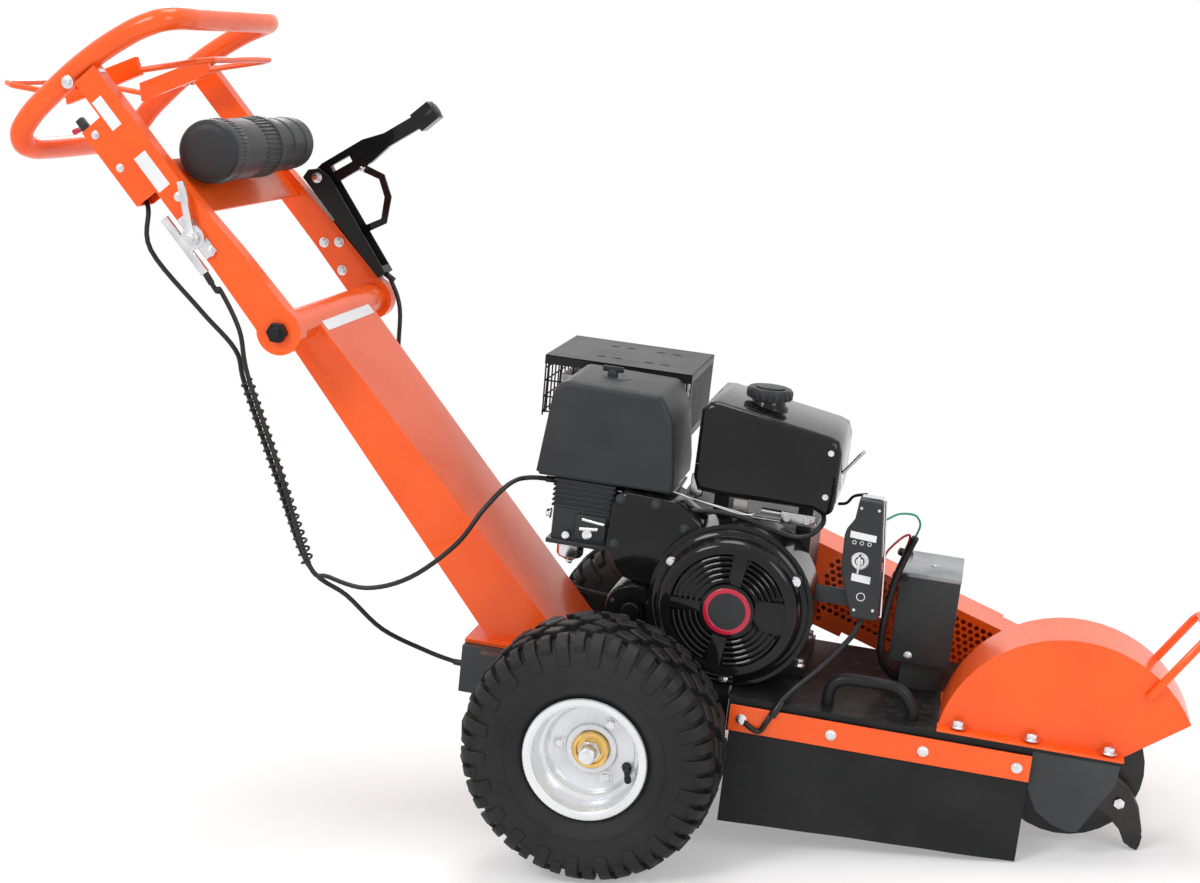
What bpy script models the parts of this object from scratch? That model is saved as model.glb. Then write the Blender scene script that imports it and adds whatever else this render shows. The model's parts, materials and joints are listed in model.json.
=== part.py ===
"""Walk-behind stump grinder, built in metres with +Z up.

Everything is laid out in the machine's own frame: the origin is the middle of
the wheel axle, +X runs forward to the cutter, -Y is the near (recoil) side and
the deck is level. The machine stands nose down on its wheels and on one cutter
tooth, so the whole assembly hangs on one empty that carries that rest tilt.
"""
import math

import bmesh
import bpy
from mathutils import Matrix, Vector

for old in list(bpy.data.objects):
    bpy.data.objects.remove(old, do_unlink=True)

# ---------------------------------------------------------------- driving sizes
SEAT = 0.0003            # gap left between two pieces that touch
RUN = 0.0005             # running clearance beside a turning piece
SHEET = 0.004            # thickness of the welded plate work
THIN = 0.002             # thickness of pressed covers
ROUND = 32               # facets of a large turned piece
SMALL = 16               # facets of a small turned piece

WHEEL_RADIUS = 0.185
TYRE_WIDTH = 0.150
TRACK_HALF = 0.272       # middle of a tyre from the machine's mid-plane
RIM_RADIUS = 0.0775      # bead seat
FLANGE_RADIUS = 0.089
RIM_WIDTH = 0.124
HUB_RADIUS = 0.027
HUB_LENGTH = 0.064
AXLE_RADIUS = 0.0125
AXLE_SHOULDER = 0.018
AXLE_HALF = TRACK_HALF + 0.050

DECK_TOP = 0.083
DECK_REAR = -0.060
DECK_STEP = 0.174        # where the deck widens, just ahead of the tyres
DECK_FRONT = 0.722
DECK_NEAR = 0.206        # near edge of the wide part
DECK_FAR = 0.120
RAIL_HALF = 0.150        # half width of the narrow rear part and of the rails
SKIRT_DROP = 0.052

FRAME_REAR = -0.243
FRAME_TOP = 0.060
FRAME_BOTTOM = -0.013
RAIL_WIDTH = 0.040

MAST_HALF_TOP = 0.1155   # half width of the mast at the fold pin
MAST_TAPER = 0.035       # growth of that half width per metre up the mast
MAST_FRONT = 0.020       # front plate of the mast from the line through the fold pin
MAST_REAR = -0.036       # rear edge of its sides at the fold pin
MAST_REAR_BASE = -0.208
MAST_FRONT_BASE = -0.078
BARREL_RADIUS = 0.025
FOLD_X = -0.534
FOLD_Z = 0.511
ARM_ANGLE = math.radians(133.8)
ARM_LENGTH = 0.4608
ARM_THICK = 0.025
ARM_INNER = 0.1905       # inner face of an arm from the mid-plane
LUG_RADIUS = 0.034
PIN_RADIUS = 0.008

LOOP_RADIUS = 0.0165
LOOP_HALF = 0.198
BAIL_RADIUS = 0.0045
BAIL_HALF = 0.125
BAIL_U, BAIL_V = ARM_LENGTH + 0.0017, -0.0335

CRANK_X = 0.155
CRANK_Z = 0.203
FAN_RADIUS = 0.119
FAN_FRONT = -0.170
FAN_BACK = -0.0833
RECOIL_RADIUS = 0.112
RECOIL_FRONT = -0.200
CRANK_RADIUS = 0.0127
BLOCK_BACK = 0.104

CUTTER_X = 0.652
CUTTER_Z = 0.046
CUTTER_Y = -0.125
DISC_RADIUS = 0.107
DISC_THICK = 0.024
TIP_X = 0.112            # tip of the lowest tooth from the cutter's axis
TIP_Z = -0.104
TOOTH_COUNT = 3
SHAFT_RADIUS = 0.0175
GUARD_X = 0.646
GUARD_Z = 0.058
GUARD_RADIUS = 0.180
GUARD_NEAR = -0.181
GUARD_FAR = -0.069

BELT_Y = 0.160
BELT_WIDTH = 0.017
BELT_THICK = 0.008
ENGINE_PULLEY = 0.040    # radius that the belt runs on
CUTTER_PULLEY = 0.046
IDLER_RADIUS = 0.022
GUARD_STEP = 0.546       # where the belt guard steps down, in front of the perforations
IDLER_GAP = 0.010        # belt slack taken up when the clutch lever engages

# ---------------------------------------------------------------- collections
parts = bpy.data.collections.new("stump_grinder")
bpy.context.scene.collection.children.link(parts)


def material(name, colour, roughness, metallic=0.0):
    made = bpy.data.materials.new(name)
    made.use_nodes = True
    shader = made.node_tree.nodes["Principled BSDF"]
    shader.inputs["Base Color"].default_value = (*colour, 1.0)
    shader.inputs["Roughness"].default_value = roughness
    shader.inputs["Metallic"].default_value = metallic
    made.diffuse_color = (*colour, 1.0)
    return made


ORANGE = material("orange_paint", (0.90, 0.13, 0.02), 0.35)
BLACK = material("black_paint", (0.02, 0.02, 0.022), 0.3)
GREY = material("grey_paint", (0.09, 0.10, 0.10), 0.5)
STEEL = material("bare_steel", (0.55, 0.55, 0.56), 0.35, 1.0)
ZINC = material("zinc_plate", (0.62, 0.62, 0.64), 0.3, 1.0)
SILVER = material("silver_paint", (0.60, 0.61, 0.63), 0.3, 0.6)
BRASS = material("yellow_zinc", (0.70, 0.50, 0.18), 0.35, 1.0)
RUBBER = material("rubber", (0.02, 0.02, 0.02), 0.7)
TYRE = material("tyre_rubber", (0.025, 0.025, 0.026), 0.75)
PLASTIC = material("dark_plastic", (0.045, 0.046, 0.05), 0.5)
CAST = material("cast_aluminium", (0.10, 0.10, 0.105), 0.55, 0.5)


# ---------------------------------------------------------------- modelling tools
def add(name, mesh, paint, location=(0, 0, 0), turn=(0, 0, 0)):
    """A named object on the parts collection, carrying one material."""
    obj = bpy.data.objects.new(name, mesh)
    obj.location = location
    obj.rotation_euler = turn
    parts.objects.link(obj)
    mesh.materials.clear()
    mesh.materials.append(paint)
    return obj


def box(name, low, high, paint, tilt=0.0):
    """A block between two corners, turned about Y through its own middle."""
    middle = [(a + b) / 2 for a, b in zip(low, high)]
    size = [b - a for a, b in zip(low, high)]
    shape = bmesh.new()
    bmesh.ops.create_cube(shape, size=1.0)
    bmesh.ops.scale(shape, vec=size, verts=shape.verts)
    mesh = bpy.data.meshes.new(name)
    shape.to_mesh(mesh)
    shape.free()
    return add(name, mesh, paint, middle, (0, tilt, 0))


def round_edges(obj, width, segments=2):
    bevel = obj.modifiers.new("round_edges", "BEVEL")
    bevel.width = width
    bevel.segments = segments
    bevel.limit_method = "ANGLE"
    return obj


def rod(name, start, end, radius, paint, sides=SMALL):
    """A straight round bar between two points."""
    start, end = Vector(start), Vector(end)
    run = end - start
    shape = bmesh.new()
    bmesh.ops.create_cone(shape, cap_ends=True, segments=sides, radius1=radius, radius2=radius,
                          depth=run.length)
    mesh = bpy.data.meshes.new(name)
    shape.to_mesh(mesh)
    shape.free()
    turn = run.to_track_quat("Z", "Y").to_euler()
    return add(name, mesh, paint, (start + end) / 2, turn)


def turned(name, outline, paint, centre=(0, 0, 0), steps=ROUND, closed=True, outward=1):
    """A shape turned about the Y direction from (along Y, radius) points.

    The outline's outer side runs from the largest Y to the smallest. With
    outward -1 the outline is read towards -Y, for the mirrored piece.
    """
    mesh = bpy.data.meshes.new(name)
    edges = [(i, i + 1) for i in range(len(outline) - 1)]
    if closed:
        edges.append((len(outline) - 1, 0))
    mesh.from_pydata([(radius, 0, along) for along, radius in outline], edges, [])
    obj = add(name, mesh, paint, centre, (-outward * math.pi / 2, 0, 0))
    screw = obj.modifiers.new("turn", "SCREW")
    screw.steps = steps
    screw.render_steps = steps
    screw.use_merge_vertices = True
    screw.merge_threshold = 0.00001
    return obj


def drum(name, low, high, radius, paint, centre=(0, 0), steps=SMALL):
    """A solid disc or pin along Y, centred on an (x, z) point."""
    outline = [(high, 0), (high, radius), (low, radius), (low, 0)]
    return turned(name, outline, paint, (centre[0], 0, centre[1]), steps, closed=False)


def as_mesh(obj):
    """The same object with its curve turned into a closed mesh."""
    graph = bpy.context.evaluated_depsgraph_get()
    mesh = bpy.data.meshes.new_from_object(obj.evaluated_get(graph))
    shape = bmesh.new()
    shape.from_mesh(mesh)
    bmesh.ops.remove_doubles(shape, verts=shape.verts, dist=0.00001)
    bmesh.ops.recalc_face_normals(shape, faces=shape.faces)
    shape.to_mesh(mesh)
    shape.free()
    name, place, paint = obj.name, obj.matrix_world.copy(), obj.data.materials[0]
    bpy.data.objects.remove(obj, do_unlink=True)
    new = add(name, mesh, paint)
    new.matrix_world = place
    return new


def plate(name, outlines, low, high, paint, level=False):
    """A flat plate standing in the XZ plane between two Y values, or lying level.

    The first outline is its edge and any others are its holes, as (x, z) points,
    or as (x, y) points between two Z values where the plate lies level.
    """
    curve = bpy.data.curves.new(name, "CURVE")
    curve.dimensions = "2D"
    curve.fill_mode = "BOTH"
    curve.extrude = (high - low) / 2
    for points in outlines:
        spline = curve.splines.new("POLY")
        spline.points.add(len(points) - 1)
        for point, (across, up) in zip(spline.points, points):
            point.co = (across, up, 0, 1)
        spline.use_cyclic_u = True
    curve.materials.append(paint)
    obj = bpy.data.objects.new(name, curve)
    middle = (low + high) / 2
    obj.location = (0, 0, middle) if level else (0, middle, 0)
    obj.rotation_euler = (0, 0, 0) if level else (math.pi / 2, 0, 0)
    parts.objects.link(obj)
    bpy.context.view_layer.update()
    return as_mesh(obj)


def tube(name, points, radius, paint, rings=2, closed=False):
    """A round tube or wire through points, with filled ends."""
    curve = bpy.data.curves.new(name, "CURVE")
    curve.dimensions = "3D"
    curve.bevel_depth = radius
    curve.bevel_resolution = rings
    curve.use_fill_caps = True
    spline = curve.splines.new("POLY")
    spline.points.add(len(points) - 1)
    for point, place in zip(spline.points, points):
        point.co = (*place, 1)
    spline.use_cyclic_u = closed
    curve.materials.append(paint)
    obj = bpy.data.objects.new(name, curve)
    parts.objects.link(obj)
    bpy.context.view_layer.update()
    return as_mesh(obj)


def boolean(base, others, operation):
    """Joins the others to the base, or cuts them from it, and leaves one plain mesh."""
    for other in others:
        step = base.modifiers.new(other.name, "BOOLEAN")
        step.operation = operation
        step.solver = "EXACT"
        step.object = other
    bpy.context.view_layer.update()
    graph = bpy.context.evaluated_depsgraph_get()
    mesh = bpy.data.meshes.new_from_object(base.evaluated_get(graph))
    base.modifiers.clear()
    shape = bmesh.new()
    shape.from_mesh(mesh)
    bmesh.ops.remove_doubles(shape, verts=shape.verts, dist=0.000002)
    shape.to_mesh(mesh)
    shape.free()
    base.data = mesh
    for other in others:
        bpy.data.objects.remove(other, do_unlink=True)
    return base


def fuse(base, *others):
    return boolean(base, others, "UNION")


def cut(base, *others):
    return boolean(base, others, "DIFFERENCE")


def arc(x, z, radius, start, end, steps):
    """(x, z) points along an arc, its angles in degrees from +X towards +Z."""
    turns = [math.radians(start + (end - start) * i / steps) for i in range(steps + 1)]
    return [(x + radius * math.cos(t), z + radius * math.sin(t)) for t in turns]


def smooth_route(points, spacing):
    """Evenly spaced points on a Catmull-Rom curve through the given points."""
    points = [Vector(p) for p in points]
    ends = [2 * points[0] - points[1], *points, 2 * points[-1] - points[-2]]
    fine = []
    for a, b, c, d in zip(ends, ends[1:], ends[2:], ends[3:]):
        for i in range(24):
            t = i / 24
            fine.append(0.5 * (2 * b + (c - a) * t + (2 * a - 5 * b + 4 * c - d) * t * t
                               + (3 * b - a - 3 * c + d) * t ** 3))
    fine.append(points[-1])
    length = sum((b - a).length for a, b in zip(fine, fine[1:]))
    count = max(2, round(length / spacing))
    route, walked, goal = [fine[0]], 0.0, 1
    for a, b in zip(fine, fine[1:]):
        step = (b - a).length
        while goal < count and walked + step >= goal * length / count:
            share = (goal * length / count - walked) / step
            route.append(a.lerp(b, share))
            goal += 1
        walked += step
    route.append(fine[-1])
    return route


ALONG = Vector((math.cos(ARM_ANGLE), math.sin(ARM_ANGLE)))
ACROSS = Vector((math.sin(ARM_ANGLE), -math.cos(ARM_ANGLE)))


def arm(u, v):
    """The (x, z) place u along an arm from the fold pin and v in front of it."""
    place = Vector((FOLD_X, FOLD_Z)) + u * ALONG + v * ACROSS
    return (place.x, place.y)


def arm3(u, y, v):
    x, z = arm(u, v)
    return (x, y, z)


def arm_bar(name, u0, u1, v0, v1, low, high, paint):
    """A block that lies square to the arms."""
    corners = [arm(u0, v0), arm(u1, v0), arm(u1, v1), arm(u0, v1)]
    return plate(name, [corners], low, high, paint)


def hexagon(x, z, across, start=0):
    return arc(x, z, across / math.sqrt(3), start, start + 300, 5)


# ---------------------------------------------------------------- chassis
SLOT_REAR = 0.495
STRIP_START = 0.178
STRIP_END = 0.604
HANGER_START = 0.600
HANGER_TIP = (0.670, -0.029)
IDLER_PIVOT = (0.300, 0.020)
FLAP_THICK = 0.003
NEAR_FACE = -DECK_NEAR
DECK_UNDER = DECK_TOP - SHEET


def deck():
    slot_near, slot_far = GUARD_NEAR + SHEET, GUARD_FAR - SHEET
    outline = [(DECK_REAR, -RAIL_HALF), (DECK_STEP, -RAIL_HALF), (DECK_STEP, NEAR_FACE),
               (DECK_FRONT, NEAR_FACE), (DECK_FRONT, slot_near), (SLOT_REAR, slot_near),
               (SLOT_REAR, slot_far), (DECK_FRONT, slot_far), (DECK_FRONT, DECK_FAR),
               (DECK_STEP, DECK_FAR), (DECK_STEP, RAIL_HALF), (DECK_REAR, RAIL_HALF)]
    top = plate("deck", [outline], DECK_UNDER, DECK_TOP, BLACK, level=True)
    skirt = box("skirt", (DECK_STEP + 0.001, NEAR_FACE + 0.0002, DECK_TOP - SKIRT_DROP),
                (HANGER_START - 0.001, NEAR_FACE + SHEET, DECK_TOP - 0.001), BLACK)
    fuse(top, skirt)


def rear_frame():
    body = box("rear_frame", (FRAME_REAR, -0.125, FRAME_BOTTOM), (-0.165, 0.125, FRAME_TOP), GREY)
    inner = RAIL_HALF - RAIL_WIDTH
    pieces = []
    for side in (-1, 1):
        ys = sorted((side * inner, side * (RAIL_HALF - 0.002)))
        pieces.append(box("rail", (-0.210, ys[0], 0.006), (DECK_STEP - 0.006, ys[1], FRAME_TOP - 0.001),
                          GREY))
        pieces.append(box("riser", (-0.050, ys[0] + 0.002, 0.050),
                          (DECK_STEP - 0.008, ys[1] - 0.002, DECK_UNDER - SEAT), GREY))
        ys = sorted((side * (RAIL_HALF - 0.005), side * (RAIL_HALF + 0.014)))
        pieces.append(box("axle_plate", (-0.032, ys[0], -0.034), (0.032, ys[1], 0.054), GREY))
    fuse(body, *pieces)
    cut(body, rod("axle_bore", (0, -0.2, 0), (0, 0.2, 0), AXLE_SHOULDER + SEAT, GREY, 24))


def axle():
    shoulder = TRACK_HALF - 0.046 - SEAT
    outline = [(AXLE_HALF, 0), (AXLE_HALF, AXLE_RADIUS - 0.002), (AXLE_HALF - 0.002, AXLE_RADIUS),
               (shoulder, AXLE_RADIUS), (shoulder, AXLE_SHOULDER), (-shoulder, AXLE_SHOULDER),
               (-shoulder, AXLE_RADIUS), (0.002 - AXLE_HALF, AXLE_RADIUS),
               (-AXLE_HALF, AXLE_RADIUS - 0.002), (-AXLE_HALF, 0)]
    bar = turned("axle", outline, ZINC, steps=24, closed=False)
    hub_end = TRACK_HALF + 0.018 + SEAT
    for side in (-1, 1):
        ys = sorted((side * hub_end, side * (hub_end + 0.002)))
        washer = drum("washer", ys[0], ys[1], 0.018, ZINC, steps=24)
        ys = sorted((side * (hub_end + 0.0015), side * (hub_end + 0.013)))
        nut = plate("nut", [hexagon(0, 0, 0.028)], ys[0], ys[1], ZINC)
        fuse(bar, washer, nut)


def splayed(name, outline, inset, paint):
    """A block with the mast's slanting sides, moved in by an inset, over an outline in the XZ plane."""
    shape = bmesh.new()
    rings = []
    for side in (-1, 1):
        ring = []
        for x, z in outline:
            up = (x - FOLD_X) * math.cos(ARM_ANGLE) + (z - FOLD_Z) * math.sin(ARM_ANGLE)
            ring.append(shape.verts.new((x, side * (MAST_HALF_TOP + MAST_TAPER * up - inset), z)))
        rings.append(ring)
    shape.faces.new(rings[0])
    shape.faces.new(list(reversed(rings[1])))
    for i in range(len(outline)):
        k = (i + 1) % len(outline)
        shape.faces.new((rings[0][i], rings[1][i], rings[1][k], rings[0][k]))
    bmesh.ops.recalc_face_normals(shape, faces=shape.faces)
    bmesh.ops.triangulate(shape, faces=shape.faces)
    mesh = bpy.data.meshes.new(name)
    shape.to_mesh(mesh)
    shape.free()
    return add(name, mesh, paint)


def mast():
    base = FRAME_TOP + SEAT
    wall = 0.003
    body = splayed("mast", [(MAST_REAR_BASE, base + 0.003), (MAST_FRONT_BASE, base + 0.003),
                            arm(0.012, MAST_FRONT), arm(0.012, MAST_REAR)], 0.0, ORANGE)
    inside = [(MAST_REAR_BASE - 0.03, base + 0.007), (MAST_FRONT_BASE - 1.4 * wall, base + 0.007),
              arm(0.012 - wall, MAST_FRONT - wall), arm(0.012 - wall, MAST_REAR - 0.03)]
    room = splayed("room", inside, wall, ORANGE)
    cut(body, room)
    flange = box("flange", (FRAME_REAR - 0.001, -0.110, base),
                 (MAST_FRONT_BASE + 0.003, 0.110, base + 0.006),
                 ORANGE)
    barrel = drum("barrel", SEAT - ARM_INNER, ARM_INNER - SEAT, BARREL_RADIUS, ORANGE, (FOLD_X, FOLD_Z), 24)
    fuse(body, flange, barrel)
    inside = 0.150
    cut(body, drum("barrel_room", -inside, inside, BARREL_RADIUS - wall, ORANGE, (FOLD_X, FOLD_Z), 24),
        rod("pin_bore", (FOLD_X, -0.3, FOLD_Z), (FOLD_X, 0.3, FOLD_Z), PIN_RADIUS + SEAT, ORANGE))


def hangers():
    """The plates that hang the cutter shaft under the deck, with a flange bearing on each."""
    top = DECK_UNDER - SEAT
    toe = [(0.606, 0.012), (0.618, -0.008), (0.640, -0.022), (0.664, -0.029), (0.676, -0.026),
           (0.716, 0.050), (0.718, top)]
    shaft = (CUTTER_X, CUTTER_Z)
    plate("side_plate_near", [[(HANGER_START, top), (HANGER_START, 0.030), *toe]],
          NEAR_FACE, NEAR_FACE + SHEET, GREY)
    heel = [(0.262, top), (0.262, -0.004), (0.330, -0.012), (0.560, 0.004)]
    holes = [arc(*shaft, SHAFT_RADIUS + RUN, 0, 337.5, 15), arc(*IDLER_PIVOT, 0.006 + SEAT, 0, 330, 11)]
    plate("side_plate_far", [[*heel, *toe], *holes], DECK_FAR - SHEET, DECK_FAR, BLACK)
    bore = SHAFT_RADIUS + SEAT
    for name, foot, inward in (("bearing_near", NEAR_FACE + SHEET + SEAT, 1),
                               ("bearing_far", DECK_FAR - SHEET - SEAT, -1)):
        outline = [(0.024, bore), (0.024, 0.026), (0.008, 0.028), (0.007, 0.032), (0, 0.032), (0, bore)]
        turned(name, outline, CAST, (CUTTER_X, foot, CUTTER_Z), 24, outward=inward)


def skirts():
    outline = [(STRIP_START + 0.002, 0.072), (STRIP_START + 0.002, -0.104), (STRIP_END, -0.084),
               (STRIP_END - 0.001, 0.072)]
    back = NEAR_FACE - SEAT
    plate("skirt_flap", [outline], back - FLAP_THICK, back, RUBBER)
    front = back - FLAP_THICK - SEAT
    strip = plate("skirt_strip", [[(STRIP_START, 0.073), (STRIP_START, 0.034), (STRIP_END, 0.035),
                                   (STRIP_END, 0.073)]], front - 0.003, front, ORANGE)
    bolts = []
    for i in range(4):
        x = 0.192 + i * 0.1315
        bolts.append(plate("bolt", [hexagon(x, 0.0535, 0.012)], front - 0.0075, front - 0.002, ZINC))
    fuse(strip, *bolts)


def lift_handle():
    y = -0.172
    route = [(0.311, y, DECK_TOP + SEAT), (0.311, y, 0.101), (0.318, y, 0.116), (0.334, y, 0.1245),
             (0.390, y, 0.1265), (0.411, y, 0.120), (0.425, y, 0.105), (0.431, y, 0.094),
             (0.431, y, DECK_TOP + SEAT)]
    tube("lift_handle", route, 0.0088, BLACK)


def cutter_guard():
    base = DECK_TOP + SEAT
    start = math.degrees(math.atan2(base - GUARD_Z, -math.sqrt(GUARD_RADIUS ** 2 - (base - GUARD_Z) ** 2)))
    mouth = 29.0
    rim = arc(GUARD_X, GUARD_Z, GUARD_RADIUS, start, mouth, 22)
    foot = (DECK_FRONT, base)
    shell = plate("cutter_guard", [[*rim, foot]], GUARD_NEAR, GUARD_FAR, ORANGE)
    ends = []
    for inner, outer in ((GUARD_NEAR + 0.002, NEAR_FACE), (GUARD_FAR - 0.002, GUARD_FAR + 0.026)):
        ys = sorted((inner, outer))
        ends.append(box("flange", (rim[0][0] - 0.001, ys[0], base), (DECK_FRONT, ys[1], base + SHEET),
                        ORANGE))
    fuse(shell, *ends)
    inside = arc(GUARD_X, GUARD_Z, GUARD_RADIUS - SHEET, start + 3, mouth, 22)
    room = [*inside, (0.860, 0.100), (0.760, 0.020), (0.480, 0.020)]
    cut(shell, plate("hollow", [room], GUARD_NEAR + SHEET, GUARD_FAR - SHEET, ORANGE))
    near, far = GUARD_NEAR - 0.0045, GUARD_FAR + 0.0045
    low, high = (0.742, 0.176), (0.796, 0.262)
    route = [(low[0], near, low[1]), (high[0], near, high[1]),
             (high[0] + 0.006, near + 0.006, high[1] + 0.009),
             (high[0] + 0.008, near + 0.020, high[1] + 0.012),
             (high[0] + 0.008, far - 0.020, high[1] + 0.012),
             (high[0] + 0.006, far - 0.006, high[1] + 0.009),
             (high[0], far, high[1]), (low[0], far, low[1])]
    fuse(shell, tube("grab", route, 0.006, ORANGE))


# ---------------------------------------------------------------- cutter and belt drive
BELT_RUN = Vector((CUTTER_X - CRANK_X, CUTTER_Z - CRANK_Z))
BELT_DIR = BELT_RUN.normalized()
BELT_UP = Vector((-BELT_DIR.y, BELT_DIR.x))


def belt_outline(grow):
    """Both pulleys' belt radii grown by the same amount and joined by straight runs."""
    lean = math.degrees(math.atan2(BELT_DIR.y, BELT_DIR.x))
    engine, cutter = ENGINE_PULLEY + grow, CUTTER_PULLEY + grow
    pitch = math.degrees(math.asin((cutter - engine) / BELT_RUN.length))
    back = arc(CRANK_X, CRANK_Z, engine, lean + 90 + pitch, lean + 270 - pitch, 22)
    front = arc(CUTTER_X, CUTTER_Z, cutter, lean - 90 - pitch, lean + 90 + pitch, 22)
    return [*back, *front]


def grooved(groove, start, end):
    """Outline points of a flat-belt pulley between two Y values, widest edge first."""
    lip = groove + 0.009
    low, high = BELT_Y - BELT_WIDTH / 2 - RUN, BELT_Y + BELT_WIDTH / 2 + RUN
    return [(end, lip), (high + 0.003, lip), (high, groove), (low, groove), (low - 0.003, lip), (start, lip)]


def cutter():
    near_end = NEAR_FACE + SHEET + 0.001
    outline = [(0.196, 0), (0.196, SHAFT_RADIUS), (near_end, SHAFT_RADIUS), (near_end, 0)]
    turned("cutter_shaft", outline, STEEL, (CUTTER_X, 0, CUTTER_Z), 24, closed=False)
    bore = SHAFT_RADIUS + SEAT
    half = DISC_THICK / 2
    outline = [(CUTTER_Y + half + 0.018, bore), (CUTTER_Y + half + 0.018, 0.034), (CUTTER_Y + half, 0.034),
               (CUTTER_Y + half, DISC_RADIUS), (CUTTER_Y - half, DISC_RADIUS), (CUTTER_Y - half, bore)]
    turned("cutter_disc", outline, BLACK, (CUTTER_X, 0, CUTTER_Z))
    outline = [(0.190, bore), (0.190, 0.030), (0.178, 0.030), *grooved(CUTTER_PULLEY, 0.146, 0.174),
               (0.146, bore)]
    turned("cutter_pulley", outline, CAST, (CUTTER_X, 0, CUTTER_Z))
    claw = [(0.030, 0.020), (0.060, 0.006), (0.088, -0.014), (0.106, -0.042), (0.115, -0.074),
            (TIP_X + 0.002, TIP_Z + 0.006), (TIP_X, TIP_Z), (0.094, -0.097), (0.084, -0.078),
            (0.064, -0.060),
            (0.040, -0.050), (0.024, -0.034), (0.020, -0.006)]
    for i in range(TOOTH_COUNT):
        turn = math.radians(360 * i / TOOTH_COUNT)
        outline = [(CUTTER_X + x * math.cos(turn) - z * math.sin(turn),
                    CUTTER_Z + x * math.sin(turn) + z * math.cos(turn)) for x, z in claw]
        face = CUTTER_Y - half - SEAT
        holder = plate(f"tooth_{i + 1}", [outline], face - 0.018, face, BLACK)
        cut(holder,
            rod("shaft_room", (CUTTER_X, -0.3, CUTTER_Z), (CUTTER_X, 0.3, CUTTER_Z), bore, BLACK, 24))


def belt_drive():
    inner = belt_outline(SEAT)
    outer = belt_outline(BELT_THICK)
    plate("drive_belt", [outer, inner], BELT_Y - BELT_WIDTH / 2, BELT_Y + BELT_WIDTH / 2, RUBBER)
    flywheel = (-0.158, -0.112)
    outline = [(0.192, 0), (0.192, CRANK_RADIUS), (0.178, CRANK_RADIUS), (0.178, 0.024),
               *grooved(ENGINE_PULLEY, 0.146, 0.174), (0.146, 0.020), (0.126, 0.020), (0.126, CRANK_RADIUS),
               (flywheel[1], CRANK_RADIUS), (flywheel[1], 0.080), (flywheel[0], 0.084), (flywheel[0], 0)]
    turned("crankshaft", outline, STEEL, (CRANK_X, 0, CRANK_Z), closed=False)
    reach = ENGINE_PULLEY + BELT_THICK + IDLER_GAP + IDLER_RADIUS + 0.003
    along = 0.52 * BELT_RUN.length
    centre = Vector((CRANK_X, CRANK_Z)) + along * BELT_DIR - reach * BELT_UP
    low, high = DECK_FAR + SEAT, DECK_FAR + 0.007
    bar = Vector(IDLER_PIVOT)
    side = (centre - bar).normalized()
    across = Vector((-side.y, side.x)) * 0.013
    outline = [tuple(bar + across), tuple(bar - across), tuple(centre - across), tuple(centre + across)]
    link = plate("idler_arm", [outline], low, high, GREY)
    fuse(link, drum("eye", low - 0.00001, high + 0.001, 0.016, GREY, IDLER_PIVOT, 20),
         drum("pivot", DECK_FAR - 0.012, high, 0.006, GREY, IDLER_PIVOT, 12),
         drum("tip", low - 0.00001, high + 0.001, 0.014, GREY, centre, 20),
         drum("spindle", high - 0.001, BELT_Y + 0.014, 0.006, GREY, centre, 12))
    face = BELT_Y - BELT_WIDTH / 2 - 0.002
    outline = [(face + 0.021, 0.006 + SEAT), (face + 0.021, IDLER_RADIUS), (face, IDLER_RADIUS),
               (face, 0.006 + SEAT)]
    turned("idler_pulley", outline, STEEL, (centre.x, 0, centre.y), 24)
    return centre


def guard_outline(trim):
    """The belt's path grown widely as far as the guard's step, and narrowly in front of it."""
    lean = math.degrees(math.atan2(BELT_DIR.y, BELT_DIR.x))
    wide, narrow = 0.023 - trim, 0.0130 - trim
    back = arc(CRANK_X, CRANK_Z, ENGINE_PULLEY + wide, lean + 90, lean + 270, 22)
    front = arc(CUTTER_X, CUTTER_Z, CUTTER_PULLEY + narrow, lean - 90, lean + 90, 22)
    step = GUARD_STEP - trim
    top = Vector(back[0]) + BELT_DIR * ((step - back[0][0]) / BELT_DIR.x)
    edge = Vector(front[-1]) - BELT_DIR * ((front[-1][0] - step) / BELT_DIR.x)
    return [*back, *front, tuple(edge), tuple(top)]


def belt_guard():
    low, high = DECK_FAR + SEAT, 0.212
    shell = plate("belt_guard", [guard_outline(0.0)], low, high, ORANGE)
    room = plate("room", [guard_outline(THIN)], low + THIN, high - THIN, ORANGE)
    middle = Vector((CRANK_X, CRANK_Z)) + 0.52 * BELT_RUN
    drop = middle - 0.09 * BELT_UP
    foot = [tuple(middle - 0.10 * BELT_DIR), tuple(drop - 0.10 * BELT_DIR), tuple(drop + 0.10 * BELT_DIR),
            tuple(middle + 0.10 * BELT_DIR)]
    lip = middle - 0.053 * BELT_UP
    notch = [tuple(lip - 0.10 * BELT_DIR), tuple(drop - 0.10 * BELT_DIR), tuple(drop + 0.05 * BELT_DIR),
             tuple(lip + 0.05 * BELT_DIR)]
    cut(shell, room, plate("foot_gap", [foot], low + THIN, high - THIN, ORANGE),
        plate("arm_notch", [notch], low - 0.01, low + 2 * THIN, ORANGE),
        rod("crank_hole", (CRANK_X, 0, CRANK_Z), (CRANK_X, low + 0.01, CRANK_Z), 0.032, ORANGE, 20),
        rod("shaft_hole", (CUTTER_X, 0, CUTTER_Z), (CUTTER_X, low + 0.01, CUTTER_Z), 0.024, ORANGE, 20))


# ---------------------------------------------------------------- engine
LEAN = math.radians(25)
BORE_DIR = Vector((-math.cos(LEAN), math.sin(LEAN)))
BORE_UP = Vector((math.sin(LEAN), math.cos(LEAN)))
HEAD_NEAR, HEAD_FAR = -0.070, 0.085
STARTER = (0.012, 0.168)
STARTER_RADIUS = 0.034
TANK_BOTTOM = 0.348
CLEANER_BOTTOM = 0.350
CAP_X, CAP_Y = 0.160, -0.040


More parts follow.
